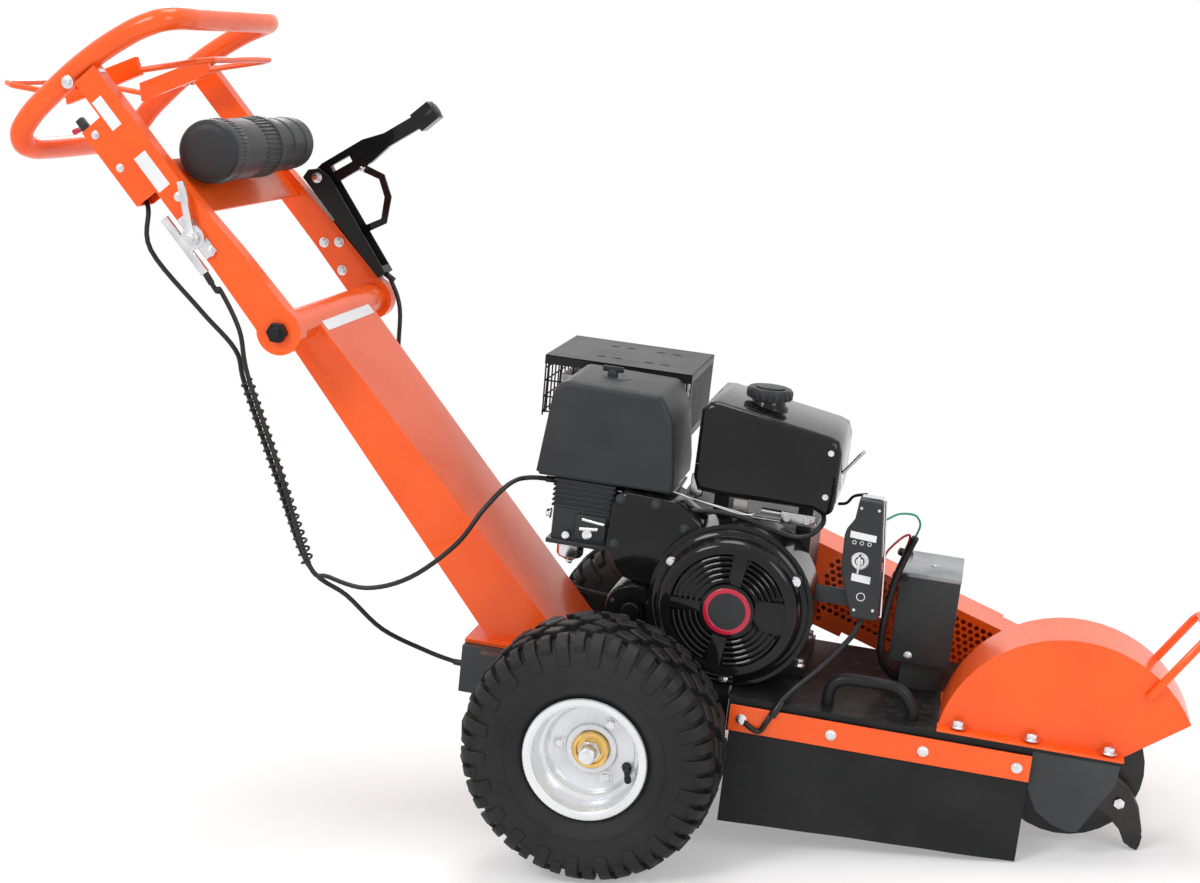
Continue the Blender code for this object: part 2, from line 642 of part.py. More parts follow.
def bore_bar(name, a0, a1, half, low, high, paint):
    """A block square to the cylinder, a0 to a1 out from the crank."""
    centre = Vector((CRANK_X, CRANK_Z))
    corners = [centre + a * BORE_DIR + b * BORE_UP
               for a, b in ((a0, -half), (a1, -half), (a1, half), (a0, half))]
    return plate(name, [[tuple(c) for c in corners]], low, high, paint)


def engine_block():
    base = DECK_TOP + SEAT
    body = box("engine_block", (0.060, -0.083, base + 0.012), (0.250, BLOCK_BACK, 0.300), CAST)
    foot = box("foot", (0.045, -0.075, base), (0.265, 0.096, base + 0.014), CAST)
    boss = drum("boss", BLOCK_BACK - 0.002, BLOCK_BACK + 0.012, 0.036, CAST, (CRANK_X, CRANK_Z), 24)
    fuse(body, foot, boss)
    posts = []
    for x in (0.100, 0.225):
        posts.append(box("tank_post", (x, -0.060, 0.298), (x + 0.022, 0.020, TANK_BOTTOM - SEAT), CAST))
    fuse(body, *posts)
    cut(body,
        rod("crank_bore", (CRANK_X, -0.2, CRANK_Z), (CRANK_X, 0.2, CRANK_Z), CRANK_RADIUS + RUN, CAST, 24))


def cylinder():
    body = bore_bar("cylinder", 0.075, 0.246, 0.040, HEAD_NEAR + 0.008, HEAD_FAR - 0.008, CAST)
    layers = []
    for i in range(6):
        start = 0.100 + 0.014 * i
        layers.append(bore_bar("fin", start, start + 0.005, 0.055, HEAD_NEAR, HEAD_FAR, CAST))
    layers.append(bore_bar("head", 0.184, 0.216, 0.055, HEAD_NEAR, HEAD_FAR, CAST))
    fuse(body, *layers)
    cut(body, box("block_face", (0.060 - SEAT, -0.2, 0.0), (0.3, 0.2, 0.5), CAST))


def fan_housing():
    crank = (CRANK_X, CRANK_Z)
    wall = 0.003
    cover = drum("fan_cover", FAN_FRONT, FAN_BACK, FAN_RADIUS, BLACK, crank, 40)
    fuse(cover, drum("starter_boss", FAN_FRONT + 0.006, FAN_BACK - 0.0001, STARTER_RADIUS + wall, BLACK,
                     STARTER, 24))
    cut(cover, drum("room", FAN_FRONT + wall, FAN_BACK + 0.01, FAN_RADIUS - wall, BLACK, crank, 40),
        drum("starter_room", FAN_FRONT + 0.006 + wall, FAN_BACK + 0.01, STARTER_RADIUS - 0.002, BLACK,
             STARTER,
             24),
        drum("air_inlet", FAN_FRONT - 0.01, FAN_FRONT + 0.01, 0.090, BLACK, crank, 32))
    rim = FAN_FRONT - SEAT
    outline = [(RECOIL_FRONT + 0.003, 0), (RECOIL_FRONT + 0.003, 0.077), (RECOIL_FRONT + 0.007, 0.084),
               (rim - 0.008, 0.093), (rim, 0.096), (rim, RECOIL_RADIUS), (rim - 0.006, RECOIL_RADIUS),
               (rim - 0.012, 0.098), (RECOIL_FRONT + 0.005, 0.088), (RECOIL_FRONT, 0.080), (RECOIL_FRONT, 0)]
    turned("recoil_cover", outline, BLACK, (CRANK_X, 0, CRANK_Z), 40, closed=False)
    motor = drum("starter_motor", FAN_BACK + SEAT, 0.012, STARTER_RADIUS, BLACK, STARTER, 24)
    fuse(motor, drum("end_cap", 0.010, 0.018, STARTER_RADIUS - 0.004, BLACK, STARTER, 24))


def intake():
    tray_top = CLEANER_BOTTOM + 0.008
    body = box("carburettor", (-0.125, -0.146, 0.246), (-0.032, -0.088, 0.349), BLACK)
    inner = THIN + 0.0005 + SEAT
    tray = box("tray", (-0.153 + inner, -0.150 + inner, 0.3465), (0.068 - inner, 0.015 - inner, tray_top),
               BLACK)
    flange = box("flange", (-0.100, -0.090, 0.268), (-0.048, HEAD_NEAR - SEAT, 0.316), BLACK)
    bowl = rod("bowl", (-0.096, -0.115, 0.218), (-0.096, -0.115, 0.250), 0.020, ZINC)
    fuse(body, tray, flange, bowl)
    wall = THIN + 0.0005
    outline = [(-0.153, CLEANER_BOTTOM - 0.01), (0.068, CLEANER_BOTTOM - 0.01), (0.068, 0.366),
               (0.066, 0.455), (0.040, 0.484),
               (-0.122, 0.490), (-0.140, 0.470), (-0.153, 0.366)]
    cover = plate("air_cleaner_cover", [outline], -0.150, 0.015, PLASTIC)
    round_edges(cover, 0.005)
    inside = [(-0.153 + wall, CLEANER_BOTTOM - 0.03), (0.068 - wall, CLEANER_BOTTOM - 0.03),
              (0.068 - wall, 0.364), (0.063, 0.452),
              (0.038, 0.481), (-0.120, 0.487), (-0.137, 0.468),
              (-0.153 + wall, 0.364)]
    cut(cover, plate("room", [inside], -0.150 + wall, 0.015 - wall, PLASTIC),
        box("below", (-0.2, -0.2, 0.3), (0.1, 0.1, CLEANER_BOTTOM), PLASTIC))
    fuse(cover, rod("wing_knob", (-0.073, -0.062, 0.484), (-0.073, -0.062, 0.502), 0.011, PLASTIC, 12))


def exhaust():
    body = box("muffler", (-0.172, 0.048, 0.368), (0.012, 0.222, 0.460), STEEL)
    pipe = box("pipe", (-0.058, HEAD_FAR + SEAT, 0.286), (-0.028, 0.118, 0.372), STEEL)
    fuse(body, pipe)
    cut(body, box("room", (-0.170, 0.050, 0.374), (0.010, 0.220, 0.458), STEEL),
        rod("outlet", (-0.20, 0.190, 0.410), (-0.10, 0.190, 0.410), 0.010, STEEL))
    guard = box("muffler_guard", (-0.195, 0.027, 0.375), (0.034, 0.239, 0.490), BLACK)
    cut(guard, box("room", (-0.193, 0.029, 0.30), (0.032, 0.237, 0.488), BLACK))
    posts = [rod("post", (x, 0.135, 0.460 + SEAT), (x, 0.135, 0.489), 0.006, BLACK, 8) for x in (-0.14,
                                                                                                 -0.02)]
    fuse(guard, *posts)


def tank_top(x):
    return 0.487 - 0.172 * (x - 0.092)


def fuel_tank():
    low, high = -0.130, 0.055
    outline = [(0.080, TANK_BOTTOM), (0.268, TANK_BOTTOM), (0.281, 0.356), (0.281, 0.440),
               (0.272, tank_top(0.272)), (0.092, tank_top(0.092)), (0.074, 0.470), (0.074, 0.356)]
    body = round_edges(plate("fuel_tank", [outline], low, high, BLACK), 0.007)
    neck = rod("neck", (CAP_X, CAP_Y, 0.465), (CAP_X, CAP_Y, 0.490), 0.022, BLACK, 24)
    fuse(body, neck)
    inside = [(0.084, 0.353), (0.266, 0.353), (0.277, 0.360), (0.277, 0.436), (0.269, 0.451), (0.095, 0.481),
              (0.079, 0.467), (0.079, 0.360)]
    cut(body, plate("room", [inside], low + 0.004, high - 0.004, BLACK),
        rod("filler", (CAP_X, CAP_Y, 0.44), (CAP_X, CAP_Y, 0.51), 0.018, BLACK, 24))
    cap = rod("fuel_cap", (CAP_X, CAP_Y, 0.4855), (CAP_X, CAP_Y, 0.502), 0.034, PLASTIC, 24)
    cut(cap, rod("recess", (CAP_X, CAP_Y, 0.46), (CAP_X, CAP_Y, 0.490 + SEAT), 0.022 + SEAT, PLASTIC, 24))


def electrics():
    case = [(0.3175, 0.3900), (0.3500, 0.3885), (0.3590, 0.2975), (0.3640, 0.2205), (0.3270, 0.2190),
            (0.3110, 0.2640), (0.3050, 0.2860), (0.3030, 0.3380), (0.3140, 0.3560)]
    body = plate("key_switch_box", [case], -0.186, -0.152, PLASTIC)
    round_edges(body, 0.003)
    edge = CRANK_X + math.sqrt(FAN_RADIUS ** 2 - (0.226 - CRANK_Z) ** 2) + SEAT
    fuse(body, box("bracket", (edge, -0.154, 0.226), (0.345, -0.149, 0.250), PLASTIC))
    cut(body, rod("keyway", (0.329, -0.2, 0.303), (0.329, -0.170, 0.303), 0.006, PLASTIC, 12))
    key = drum("ignition_key", -0.194, -0.172, 0.006 - RUN, ZINC, (0.329, 0.303), 12)
    fuse(key, box("bow", (0.3275, -0.212, 0.291), (0.3305, -0.192, 0.315), ZINC))
    left, right, near, far, low, high = 0.384, 0.4715, -0.060, 0.070, 0.128, 0.2635
    case = box("battery_box", (left, near, low), (right, far, high), GREY)
    legs = [box("leg", (left + 0.018, y, DECK_TOP + SEAT), (right - 0.010, y + 0.012, low + THIN), GREY)
            for y in (near + 0.018, far - 0.024)]
    fuse(case, *legs)
    cut(case,
        box("room", (left - 0.01, near + THIN, low + THIN), (right - THIN, far - THIN, high - THIN), GREY))
    box("battery", (left + SEAT, near + THIN + SEAT, low + THIN + SEAT),
        (right - THIN - SEAT, far - THIN - SEAT, 0.240), BLACK)


# ---------------------------------------------------------------- wheels
def wheels():
    half = RIM_WIDTH / 2
    inner = half - 0.006
    bead = RIM_RADIUS + SEAT
    side = [(inner - SEAT, bead), (inner - SEAT, FLANGE_RADIUS + 0.001), (0.064, 0.0940), (0.073, 0.110),
            (TYRE_WIDTH / 2, 0.135), (0.071, 0.158), (0.062, 0.1735), (0.045, 0.1825), (0.020, WHEEL_RADIUS)]
    cavity = [(0.043, bead), (0.048, 0.100), (0.062, 0.120), (0.062, 0.145), (0.050, 0.165), (0.025, 0.172)]
    tyre = side + [(-y, r) for y, r in reversed(side)] + [(-y, r) for y, r in cavity] + cavity[::-1]
    web = RIM_RADIUS - 0.004
    hub_room = HUB_RADIUS + SEAT
    rim = [(half, FLANGE_RADIUS - 0.003), (half - 0.0015, FLANGE_RADIUS), (inner, FLANGE_RADIUS),
           (inner, RIM_RADIUS), (-inner, RIM_RADIUS), (-inner, FLANGE_RADIUS), (-half, FLANGE_RADIUS),
           (-half, web), (0.010, web), (0.010, 0.060), (0.004, 0.052), (0.004, hub_room), (0.008, hub_room),
           (0.008, 0.054), (0.014, 0.062), (0.014, web), (half - 0.004, web)]
    bore = AXLE_RADIUS + SEAT
    hub = [(0.018, bore), (0.018, HUB_RADIUS - 0.002), (0.016, HUB_RADIUS), (0.004 - SEAT, HUB_RADIUS),
           (0.004 - SEAT, 0.045), (-0.004, 0.045), (-0.004, HUB_RADIUS), (0.018 - HUB_LENGTH, HUB_RADIUS),
           (0.018 - HUB_LENGTH, bore)]
    for name, outward in (("near", -1), ("far", 1)):
        centre = (0, outward * TRACK_HALF, 0)
        turned(f"tyre_{name}", tyre, TYRE, centre, 36, outward=outward)
        turned(f"rim_{name}", rim, SILVER, centre, 36, outward=outward)
        turned(f"hub_{name}", hub, BRASS, centre, 20, outward=outward)


# ---------------------------------------------------------------- handle
ARM_BACK, ARM_FRONT = -0.022, 0.018
CANISTER_RADIUS = 0.041
CANISTER_GRIP = 0.0055    # how far the cap stands out past the body
CANISTER_U, CANISTER_V = 0.273, 0.0135 + CANISTER_RADIUS + CANISTER_GRIP
THROTTLE_U, THROTTLE_V = 0.180, -0.014
CLUTCH_NEAR, CLUTCH_FAR = 0.178, 0.2188
CLUTCH_U, CLUTCH_V = 0.207, 0.054
LINK_U, LINK_V = 0.174, 0.119


def arms():
    for name, low in (("arm_near", -ARM_INNER - ARM_THICK), ("arm_far", ARM_INNER)):
        high = low + ARM_THICK
        outline = [arm(ARM_LENGTH, ARM_BACK), arm(ARM_LENGTH, ARM_FRONT), arm(0.25, ARM_FRONT),
                   arm(0.13, 0.027),
                   arm(0.01, 0.031), arm(0.01, -0.026), arm(0.13, ARM_BACK)]
        bar = plate(name, [outline], low, high, ORANGE)
        fuse(bar, drum("lug", low - 0.0001, high + 0.0001, LUG_RADIUS, ORANGE, (FOLD_X, FOLD_Z), 24))
        wall = 0.0025
        room = [arm(ARM_LENGTH + 0.02, ARM_BACK + wall), arm(ARM_LENGTH + 0.02, ARM_FRONT - wall),
                arm(0.25, ARM_FRONT - wall), arm(0.13, 0.027 - wall), arm(0.06, 0.026), arm(0.06, -0.021)]
        cut(bar, plate("room", [room], low + wall, high - wall, ORANGE),
            rod("pin_bore", (FOLD_X, -0.3, FOLD_Z), (FOLD_X, 0.3, FOLD_Z), PIN_RADIUS + SEAT, ORANGE))
        if name == "arm_near":
            channel = arm_bar("switch_channel", ARM_LENGTH - 0.1928, ARM_LENGTH - 0.0608, -0.060,
                              ARM_BACK + 0.001,
                              low + 0.002, low + 0.056, ORANGE)
            cut(channel, arm_bar("room", ARM_LENGTH - 0.2108, ARM_LENGTH - 0.0638, -0.0575, ARM_BACK - 0.002,
                                 low + 0.0045, low + 0.0535, ORANGE))
            fuse(bar, channel)


def fold_pin():
    face = ARM_INNER + ARM_THICK + SEAT
    pin = rod("fold_pin", (FOLD_X, -face - 0.016, FOLD_Z), (FOLD_X, face + 0.016, FOLD_Z), PIN_RADIUS, BLACK)
    heads = []
    for side in (-1, 1):
        ys = sorted((side * face, side * (face + 0.011)))
        heads.append(plate("head", [hexagon(FOLD_X, FOLD_Z, 0.027)], ys[0], ys[1], BLACK))
    fuse(pin, *heads)


def loop_handle():
    half = LOOP_HALF
    # along the arms from their ends, out to their front, and across
    side = [(-0.0138, -0.165, 0.000), (-0.0138, -0.165, 0.100), (-0.0128, -0.164, 0.150),
            (-0.0058, -0.159, 0.182), (0.0052, -0.143, half - 0.003), (0.0132, -0.110, half),
            (0.0162, -0.060, half), (0.0172, -0.010, half), (0.0132, 0.045, half), (0.0032, 0.099, half),
            (-0.0078, 0.131, half - 0.004), (-0.0148, 0.145, 0.178), (-0.0178, 0.150, 0.148),
            (-0.0188, 0.151, 0.100), (-0.0188, 0.151, 0.000)]
    path = smooth_route([arm3(ARM_LENGTH + u, -y, v) for u, v, y in side], 0.034)
    mirrored = [(p[0], -p[1], p[2]) for p in reversed(path[1:-1])]
    outer = tube("loop_handle", [*path, *mirrored], LOOP_RADIUS, ORANGE, closed=True)
    inner = tube("bore", [*path, *mirrored], LOOP_RADIUS - 0.0025, ORANGE, closed=True)
    drain = rod("drain", arm3(ARM_LENGTH - 0.0608, 0, -0.165), arm3(ARM_LENGTH - 0.0138, 0, -0.165), 0.003,
                ORANGE,
                8)
    cut(outer, inner, drain)


def bail():
    """The rocker that the operator squeezes: two side channels with a wire bow at each end."""
    end = ARM_LENGTH
    rear, front = (end + 0.0997, -0.154), (end - 0.0768, 0.130)
    bows = []
    for bow, start in ((rear, (end + 0.0192, -0.080)), (front, (end - 0.0148, 0.022))):
        back = 0.018
        u, v = bow
        du, dv = u - start[0], v - start[1]
        size = math.hypot(du, dv)
        near = (u - back * du / size, v - back * dv / size)
        route = [arm3(start[0], -BAIL_HALF, start[1]), arm3(near[0], -BAIL_HALF, near[1]),
                 arm3(u, -BAIL_HALF + back, v), arm3(u, BAIL_HALF - back, v),
                 arm3(near[0], BAIL_HALF, near[1]), arm3(start[0], BAIL_HALF, start[1])]
        bows.append(tube("bow", route, BAIL_RADIUS, ORANGE))
    body = bows[0]
    body.name = "bail"
    cheeks = []
    for side in (-1, 1):
        ys = sorted((side * (BAIL_HALF - 0.006), side * (BAIL_HALF + 0.006)))
        corners = [arm(end + 0.0092, -0.088), arm(end + 0.0332, -0.072), arm(end - 0.0048, 0.044),
                   arm(end - 0.0298, 0.034)]
        cheeks.append(plate("cheek", [corners], ys[0], ys[1], ORANGE))
        x, z = arm(BAIL_U, BAIL_V)
        seat = side * (LOOP_HALF - 0.0121)
        cheeks.append(rod("pivot", (x, side * BAIL_HALF, z), (x, seat, z), 0.005, ORANGE, 12))
    fuse(body, bows[1], *cheeks)


def document_canister():
    inner = ARM_INNER - SEAT
    tie = arm_bar("cross_plate", 0.205, 0.300, 0.004, 0.008, -inner, inner, ORANGE)
    saddle = arm_bar("saddle", 0.252, 0.294, 0.006, 0.036, -0.062, 0.060, BLACK)
    centre = arm(CANISTER_U, CANISTER_V)
    fuse(tie, saddle)
    cut(tie, drum("canister_room", -0.2, 0.2, CANISTER_RADIUS + SEAT, BLACK, centre, 32))
    low, high = -0.168, 0.160
    neck = -0.118
    outline = [(high, 0), (high, CANISTER_RADIUS - 0.006), (high - 0.006, CANISTER_RADIUS),
               (neck, CANISTER_RADIUS), (neck, CANISTER_RADIUS - 0.003),
               (neck - 0.030, CANISTER_RADIUS - 0.003),
               (neck - 0.030, CANISTER_RADIUS - 0.006), (high - 0.003, CANISTER_RADIUS - 0.006),
               (high - 0.003, 0)]
    turned("canister", outline, PLASTIC, (centre[0], 0, centre[1]), 32, closed=False)
    fit = CANISTER_RADIUS - 0.003 + SEAT
    grip = CANISTER_RADIUS + CANISTER_GRIP
    lid = [(low + 0.003, 0), (low + 0.003, fit), (neck - SEAT, fit), (neck - SEAT, grip - 0.002),
           (neck - 0.006, grip), (neck - 0.034, grip), (low + 0.004, grip - 0.002), (low, grip - 0.0065),
           (low, 0)]
    turned("canister_cap", lid, PLASTIC, (centre[0], 0, centre[1]), 32, closed=False)


def throttle():
    face = -ARM_INNER - ARM_THICK - SEAT
    x, z = arm(THROTTLE_U, THROTTLE_V)
    body = drum("throttle_body", face - 0.012, face, 0.0175, ZINC, (x, z), 24)
    web = arm_bar("web", 0.166, 0.194, -0.036, -0.016, face - 0.010, face - 0.001, ZINC)
    ear = arm_bar("ear", 0.145, 0.215, -0.020, 0.000, face - 0.003, face, ZINC)
    barrel = rod("barrel", arm3(0.130, face - 0.005, -0.0335), arm3(0.228, face - 0.005, -0.0335), 0.0065,
                 ZINC, 12)
    fuse(body, web, ear, barrel)
    low = face - 0.012 - SEAT - 0.004
    high = face - 0.012 - SEAT
    tip = (0.252, 0.024)
    run = Vector((tip[0] - THROTTLE_U, tip[1] - THROTTLE_V)).normalized() * 0.005
    corners = [arm(THROTTLE_U + run.y, THROTTLE_V - run.x), arm(tip[0] + run.y, tip[1] - run.x),
               arm(tip[0] - run.y, tip[1] + run.x), arm(THROTTLE_U - run.y, THROTTLE_V + run.x)]
    lever = plate("throttle_lever", [corners], low, high, ZINC)
    fuse(lever, drum("hub", low - 0.002, high - 0.0001, 0.011, ZINC, (x, z), 20))


def clutch():
    wall = 0.003
    outline = [arm(0.018, 0.0345), arm(0.018, 0.050), arm(0.196, 0.072), arm(0.216, 0.066),
               arm(0.226, 0.050),
               arm(0.222, 0.0345)]
    bracket = plate("clutch_bracket", [outline], CLUTCH_NEAR, CLUTCH_FAR, BLACK)
    slot = [arm(0.030, 0.0345 + wall), arm(0.030, 0.1), arm(0.26, 0.1), arm(0.26, 0.0345 + wall)]
    cut(bracket, plate("slot", [slot], CLUTCH_NEAR + wall, CLUTCH_FAR - wall, BLACK))
    tab = arm_bar("tab", 0.040, 0.142, -0.018, 0.037, ARM_INNER + ARM_THICK + SEAT, CLUTCH_FAR, BLACK)
    fuse(bracket, tab)
    middle = (CLUTCH_NEAR + CLUTCH_FAR) / 2
    low, high = middle - 0.007, middle + 0.007
    shape = [(0.198, 0.043), (0.219, 0.045), (0.222, 0.070), (0.210, 0.150), (0.196, 0.185), (0.186, 0.250),
             (0.164, 0.246), (0.174, 0.180), (0.172, 0.140), (0.184, 0.060)]
    lever = plate("clutch_lever", [[arm(u, v) for u, v in shape]], low, high, BLACK)
    grip = arm_bar("socket", 0.158, 0.190, 0.240, 0.276, middle - 0.015, middle + 0.015, BLACK)
    slit = [arm(0.199, 0.078), arm(0.209, 0.080), arm(0.203, 0.116), arm(0.193, 0.114)]
    pivot = arm3(CLUTCH_U, 0, CLUTCH_V)
    fuse(lever, grip)
    cut(lever, plate("slit", [slit], low - 0.01, high + 0.01, BLACK))
    fuse(lever, rod("pivot", (pivot[0], CLUTCH_NEAR + wall + RUN, pivot[2]),
                    (pivot[0], CLUTCH_FAR - wall - RUN, pivot[2]), 0.007, ZINC))
    path = [(LINK_U, LINK_V), (0.146, 0.134), (0.114, 0.122), (0.088, 0.092), (0.099, 0.050)]
    half = 0.006
    spine = [Vector(p) for p in path]
    left, right = [], []
    for i, point in enumerate(spine):
        before = spine[max(i - 1, 0)]
        after = spine[min(i + 1, len(spine) - 1)]
        step = (after - before).normalized()
        left.append(arm(point.x - step.y * half, point.y + step.x * half))
        right.append(arm(point.x + step.y * half, point.y - step.x * half))
    start = high + SEAT
    plate("clutch_link", [[*left, *reversed(right)]], start, start + 0.004, GREY)


# ---------------------------------------------------------------- cables
def cables():
    stop = [arm3(0.300, -0.176, -0.046), arm3(0.262, -0.190, -0.050), (-0.743, -0.203, 0.602),
            (-0.660, -0.205, 0.525), (-0.602, -0.205, 0.474), (-0.584, -0.205, 0.425),
            (-0.528, -0.203, 0.298),
            (-0.470, -0.198, 0.169), (-0.412, -0.180, 0.125), (-0.362, -0.150, 0.072),
            (-0.300, -0.112, 0.036),
            (FRAME_REAR - 0.020, -0.100, 0.022), (FRAME_REAR - SEAT, -0.100, 0.022)]
    tube("stop_cable", smooth_route(stop, 0.020), 0.0036, RUBBER)
    gas = [arm3(0.130 - SEAT, -0.2208, -0.0335), arm3(0.104, -0.2208, -0.0335), (-0.625, -0.220, 0.560),
           (-0.593, -0.217, 0.506), (-0.572, -0.215, 0.440), (-0.512, -0.213, 0.309),
           (-0.458, -0.209, 0.180),
           (-0.434, -0.207, 0.162), (-0.375, -0.205, 0.150), (-0.310, -0.205, 0.177),
           (-0.247, -0.202, 0.236),
           (-0.215, -0.185, 0.290), (-0.188, -0.155, 0.322), (-0.160, -0.125, 0.330),
           (-0.1257, -0.125, 0.330)]
    tube("throttle_cable", smooth_route(gas, 0.020), 0.0036, RUBBER)
    mid = (CLUTCH_NEAR + CLUTCH_FAR) / 2
    pull = [arm3(0.018 - SEAT, mid, 0.043), arm3(0.003, mid, 0.044), (-0.486, 0.197, 0.500),
            (-0.478, 0.188, 0.420), (-0.452, 0.180, 0.340), (-0.400, 0.170, 0.230), (-0.300, 0.165, 0.130),
            (-0.150, 0.168, 0.088),
            (0.050, 0.166, 0.080), (0.160, 0.158, 0.066), (0.250, 0.135, 0.040), (0.282, 0.132, 0.022)]
    tube("clutch_cable", smooth_route(pull, 0.020), 0.0036, RUBBER)


for build in (deck, rear_frame, axle, mast, hangers, skirts, lift_handle, cutter_guard, cutter, belt_drive,
              belt_guard, engine_block, cylinder, fan_housing, intake, exhaust, fuel_tank, electrics, wheels,
              arms, fold_pin, loop_handle, bail, document_canister, throttle, clutch, cables):
    build()


# ---------------------------------------------------------------- joints and stance
def joint(name, place, members, parent):
    """An empty on a joint's axis, carrying the pieces that move with it."""
    empty = bpy.data.objects.new(name, None)
    empty.empty_display_size = 0.05
    parts.objects.link(empty)
    empty.parent = parent
    empty.location = Vector(place) - (Vector(parent["place"]) if parent else Vector((0, 0, 0)))
    empty["place"] = tuple(place)
    for member in members:
        obj = bpy.data.objects[member]
        obj.parent = empty
        obj.matrix_parent_inverse = Matrix.Translation(-Vector(place))
    return empty


CHASSIS = ["deck", "rear_frame", "axle", "mast", "side_plate_near", "side_plate_far", "bearing_near",
           "bearing_far", "skirt_flap", "skirt_strip", "lift_handle", "cutter_guard", "drive_belt",
           "belt_guard", "engine_block", "cylinder", "fan_cover", "recoil_cover", "starter_motor",
           "carburettor", "air_cleaner_cover", "muffler", "muffler_guard", "fuel_tank", "key_switch_box",
           "battery_box", "battery", "stop_cable", "throttle_cable", "clutch_cable"]
HANDLE = ["arm_near", "arm_far", "fold_pin", "loop_handle", "cross_plate", "canister", "throttle_body",
          "clutch_bracket"]
machine = joint("machine", (0, 0, 0), CHASSIS, None)
for side, y in (("near", -TRACK_HALF), ("far", TRACK_HALF)):
    joint(f"wheel_{side}_axis", (0, y, 0), [f"tyre_{side}", f"rim_{side}", f"hub_{side}"], machine)
teeth = [f"tooth_{i + 1}" for i in range(TOOTH_COUNT)]
joint("cutter_axis", (CUTTER_X, 0, CUTTER_Z), ["cutter_shaft", "cutter_disc", "cutter_pulley", *teeth],
      machine)
joint("crank_axis", (CRANK_X, 0, CRANK_Z), ["crankshaft"], machine)
idler = bpy.data.objects["idler_pulley"].location.copy()
idler_axis = joint("idler_arm_axis", (IDLER_PIVOT[0], DECK_FAR, IDLER_PIVOT[1]), ["idler_arm"], machine)
joint("idler_axis", (idler.x, BELT_Y, idler.z), ["idler_pulley"], idler_axis)
joint("key_axis", (0.329, -0.186, 0.303), ["ignition_key"], machine)
joint("fuel_cap_axis", (CAP_X, CAP_Y, 0.490), ["fuel_cap"], machine)
fold = joint("fold_axis", (FOLD_X, 0, FOLD_Z), HANDLE, machine)
joint("bail_axis", arm3(BAIL_U, 0, BAIL_V), ["bail"], fold)
joint("canister_cap_axis", arm3(CANISTER_U, -0.118, CANISTER_V), ["canister_cap"], fold)
joint("throttle_axis", arm3(THROTTLE_U, -0.230, THROTTLE_V), ["throttle_lever"], fold)
lever_axis = joint("clutch_axis", arm3(CLUTCH_U, 0.1984, CLUTCH_V), ["clutch_lever"], fold)
joint("clutch_link_axis", arm3(LINK_U, 0.2074, LINK_V), ["clutch_link"], lever_axis)

tip_x, tip_z = CUTTER_X + TIP_X, CUTTER_Z + TIP_Z
reach = math.hypot(tip_x, tip_z)
rest_tilt = math.atan2(tip_z, tip_x) + math.asin(WHEEL_RADIUS / reach)
machine.rotation_euler = (0, rest_tilt, 0)
bpy.context.view_layer.update()

graph = bpy.context.evaluated_depsgraph_get()
corners = []
for obj in parts.objects:
    if obj.type == "MESH":
        solid = obj.evaluated_get(graph)
        corners += [solid.matrix_world @ v.co for v in solid.data.vertices]
        obj.data.shade_smooth()
        obj.data.set_sharp_from_angle(angle=math.radians(35))
lows = [min(c[i] for c in corners) for i in range(3)]
highs = [max(c[i] for c in corners) for i in range(3)]
machine.location = (-(lows[0] + highs[0]) / 2, -(lows[1] + highs[1]) / 2, -lows[2])
bpy.context.view_layer.update()
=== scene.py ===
import json
import math

import bmesh
import bpy
from mathutils import Matrix, Vector


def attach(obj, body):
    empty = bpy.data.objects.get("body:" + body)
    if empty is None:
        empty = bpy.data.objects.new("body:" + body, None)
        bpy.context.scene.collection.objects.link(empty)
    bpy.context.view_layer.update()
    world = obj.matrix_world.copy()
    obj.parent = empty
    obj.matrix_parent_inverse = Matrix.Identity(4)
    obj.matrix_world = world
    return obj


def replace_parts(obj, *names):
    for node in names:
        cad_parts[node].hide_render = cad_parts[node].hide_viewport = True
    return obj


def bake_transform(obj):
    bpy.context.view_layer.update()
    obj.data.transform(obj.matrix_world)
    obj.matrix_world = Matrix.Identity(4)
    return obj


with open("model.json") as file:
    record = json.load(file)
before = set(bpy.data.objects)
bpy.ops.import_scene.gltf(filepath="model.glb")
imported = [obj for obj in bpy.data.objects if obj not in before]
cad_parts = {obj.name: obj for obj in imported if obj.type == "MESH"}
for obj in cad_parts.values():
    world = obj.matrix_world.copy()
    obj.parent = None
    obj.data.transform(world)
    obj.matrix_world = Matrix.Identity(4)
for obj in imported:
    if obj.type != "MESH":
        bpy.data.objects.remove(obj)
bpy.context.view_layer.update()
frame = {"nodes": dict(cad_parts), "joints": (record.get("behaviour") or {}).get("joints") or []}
nodes = frame["nodes"]


# ---------------------------------------------------------------- the machine's own axes
def joint_place(name):
    """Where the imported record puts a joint."""
    return Vector(next(j["pos_m"] for j in frame["joints"] if j["name"] == name))


AXLE = (joint_place("wheel_near_spin") + joint_place("wheel_far_spin")) / 2
CRANK = Vector((0.155, 0, 0.203))            # crank axis from the axle, square to the deck
CUTTER = Vector((0.652, 0, 0.046))
FOLD = Vector((-0.534, 0, 0.511))
ARM_ANGLE = math.radians(133.8)
WHEEL_SIDE = 0.272                           # middle of each tyre from the machine's middle
to_crank = joint_place("crank_spin") - AXLE
LEAN = math.atan2(CRANK.z, CRANK.x) - math.atan2(to_crank.z, to_crank.x)
DECK = Matrix.Translation(AXLE) @ Matrix.Rotation(LEAN, 4, "Y")
ARM = Matrix.Translation(FOLD) @ Matrix.Rotation(-ARM_ANGLE, 4, "Y")


def arm_point(along, y, front):
    """A point on the handle, along its arms from the fold pin and out to their front."""
    return ARM @ Vector((along, y, -front))


def on_circle(centre, radius, degrees, y):
    """A point round a centre in the XZ plane, at a given y."""
    turn = math.radians(degrees)
    return Vector((centre.x + radius * math.cos(turn), y, centre.z + radius * math.sin(turn)))


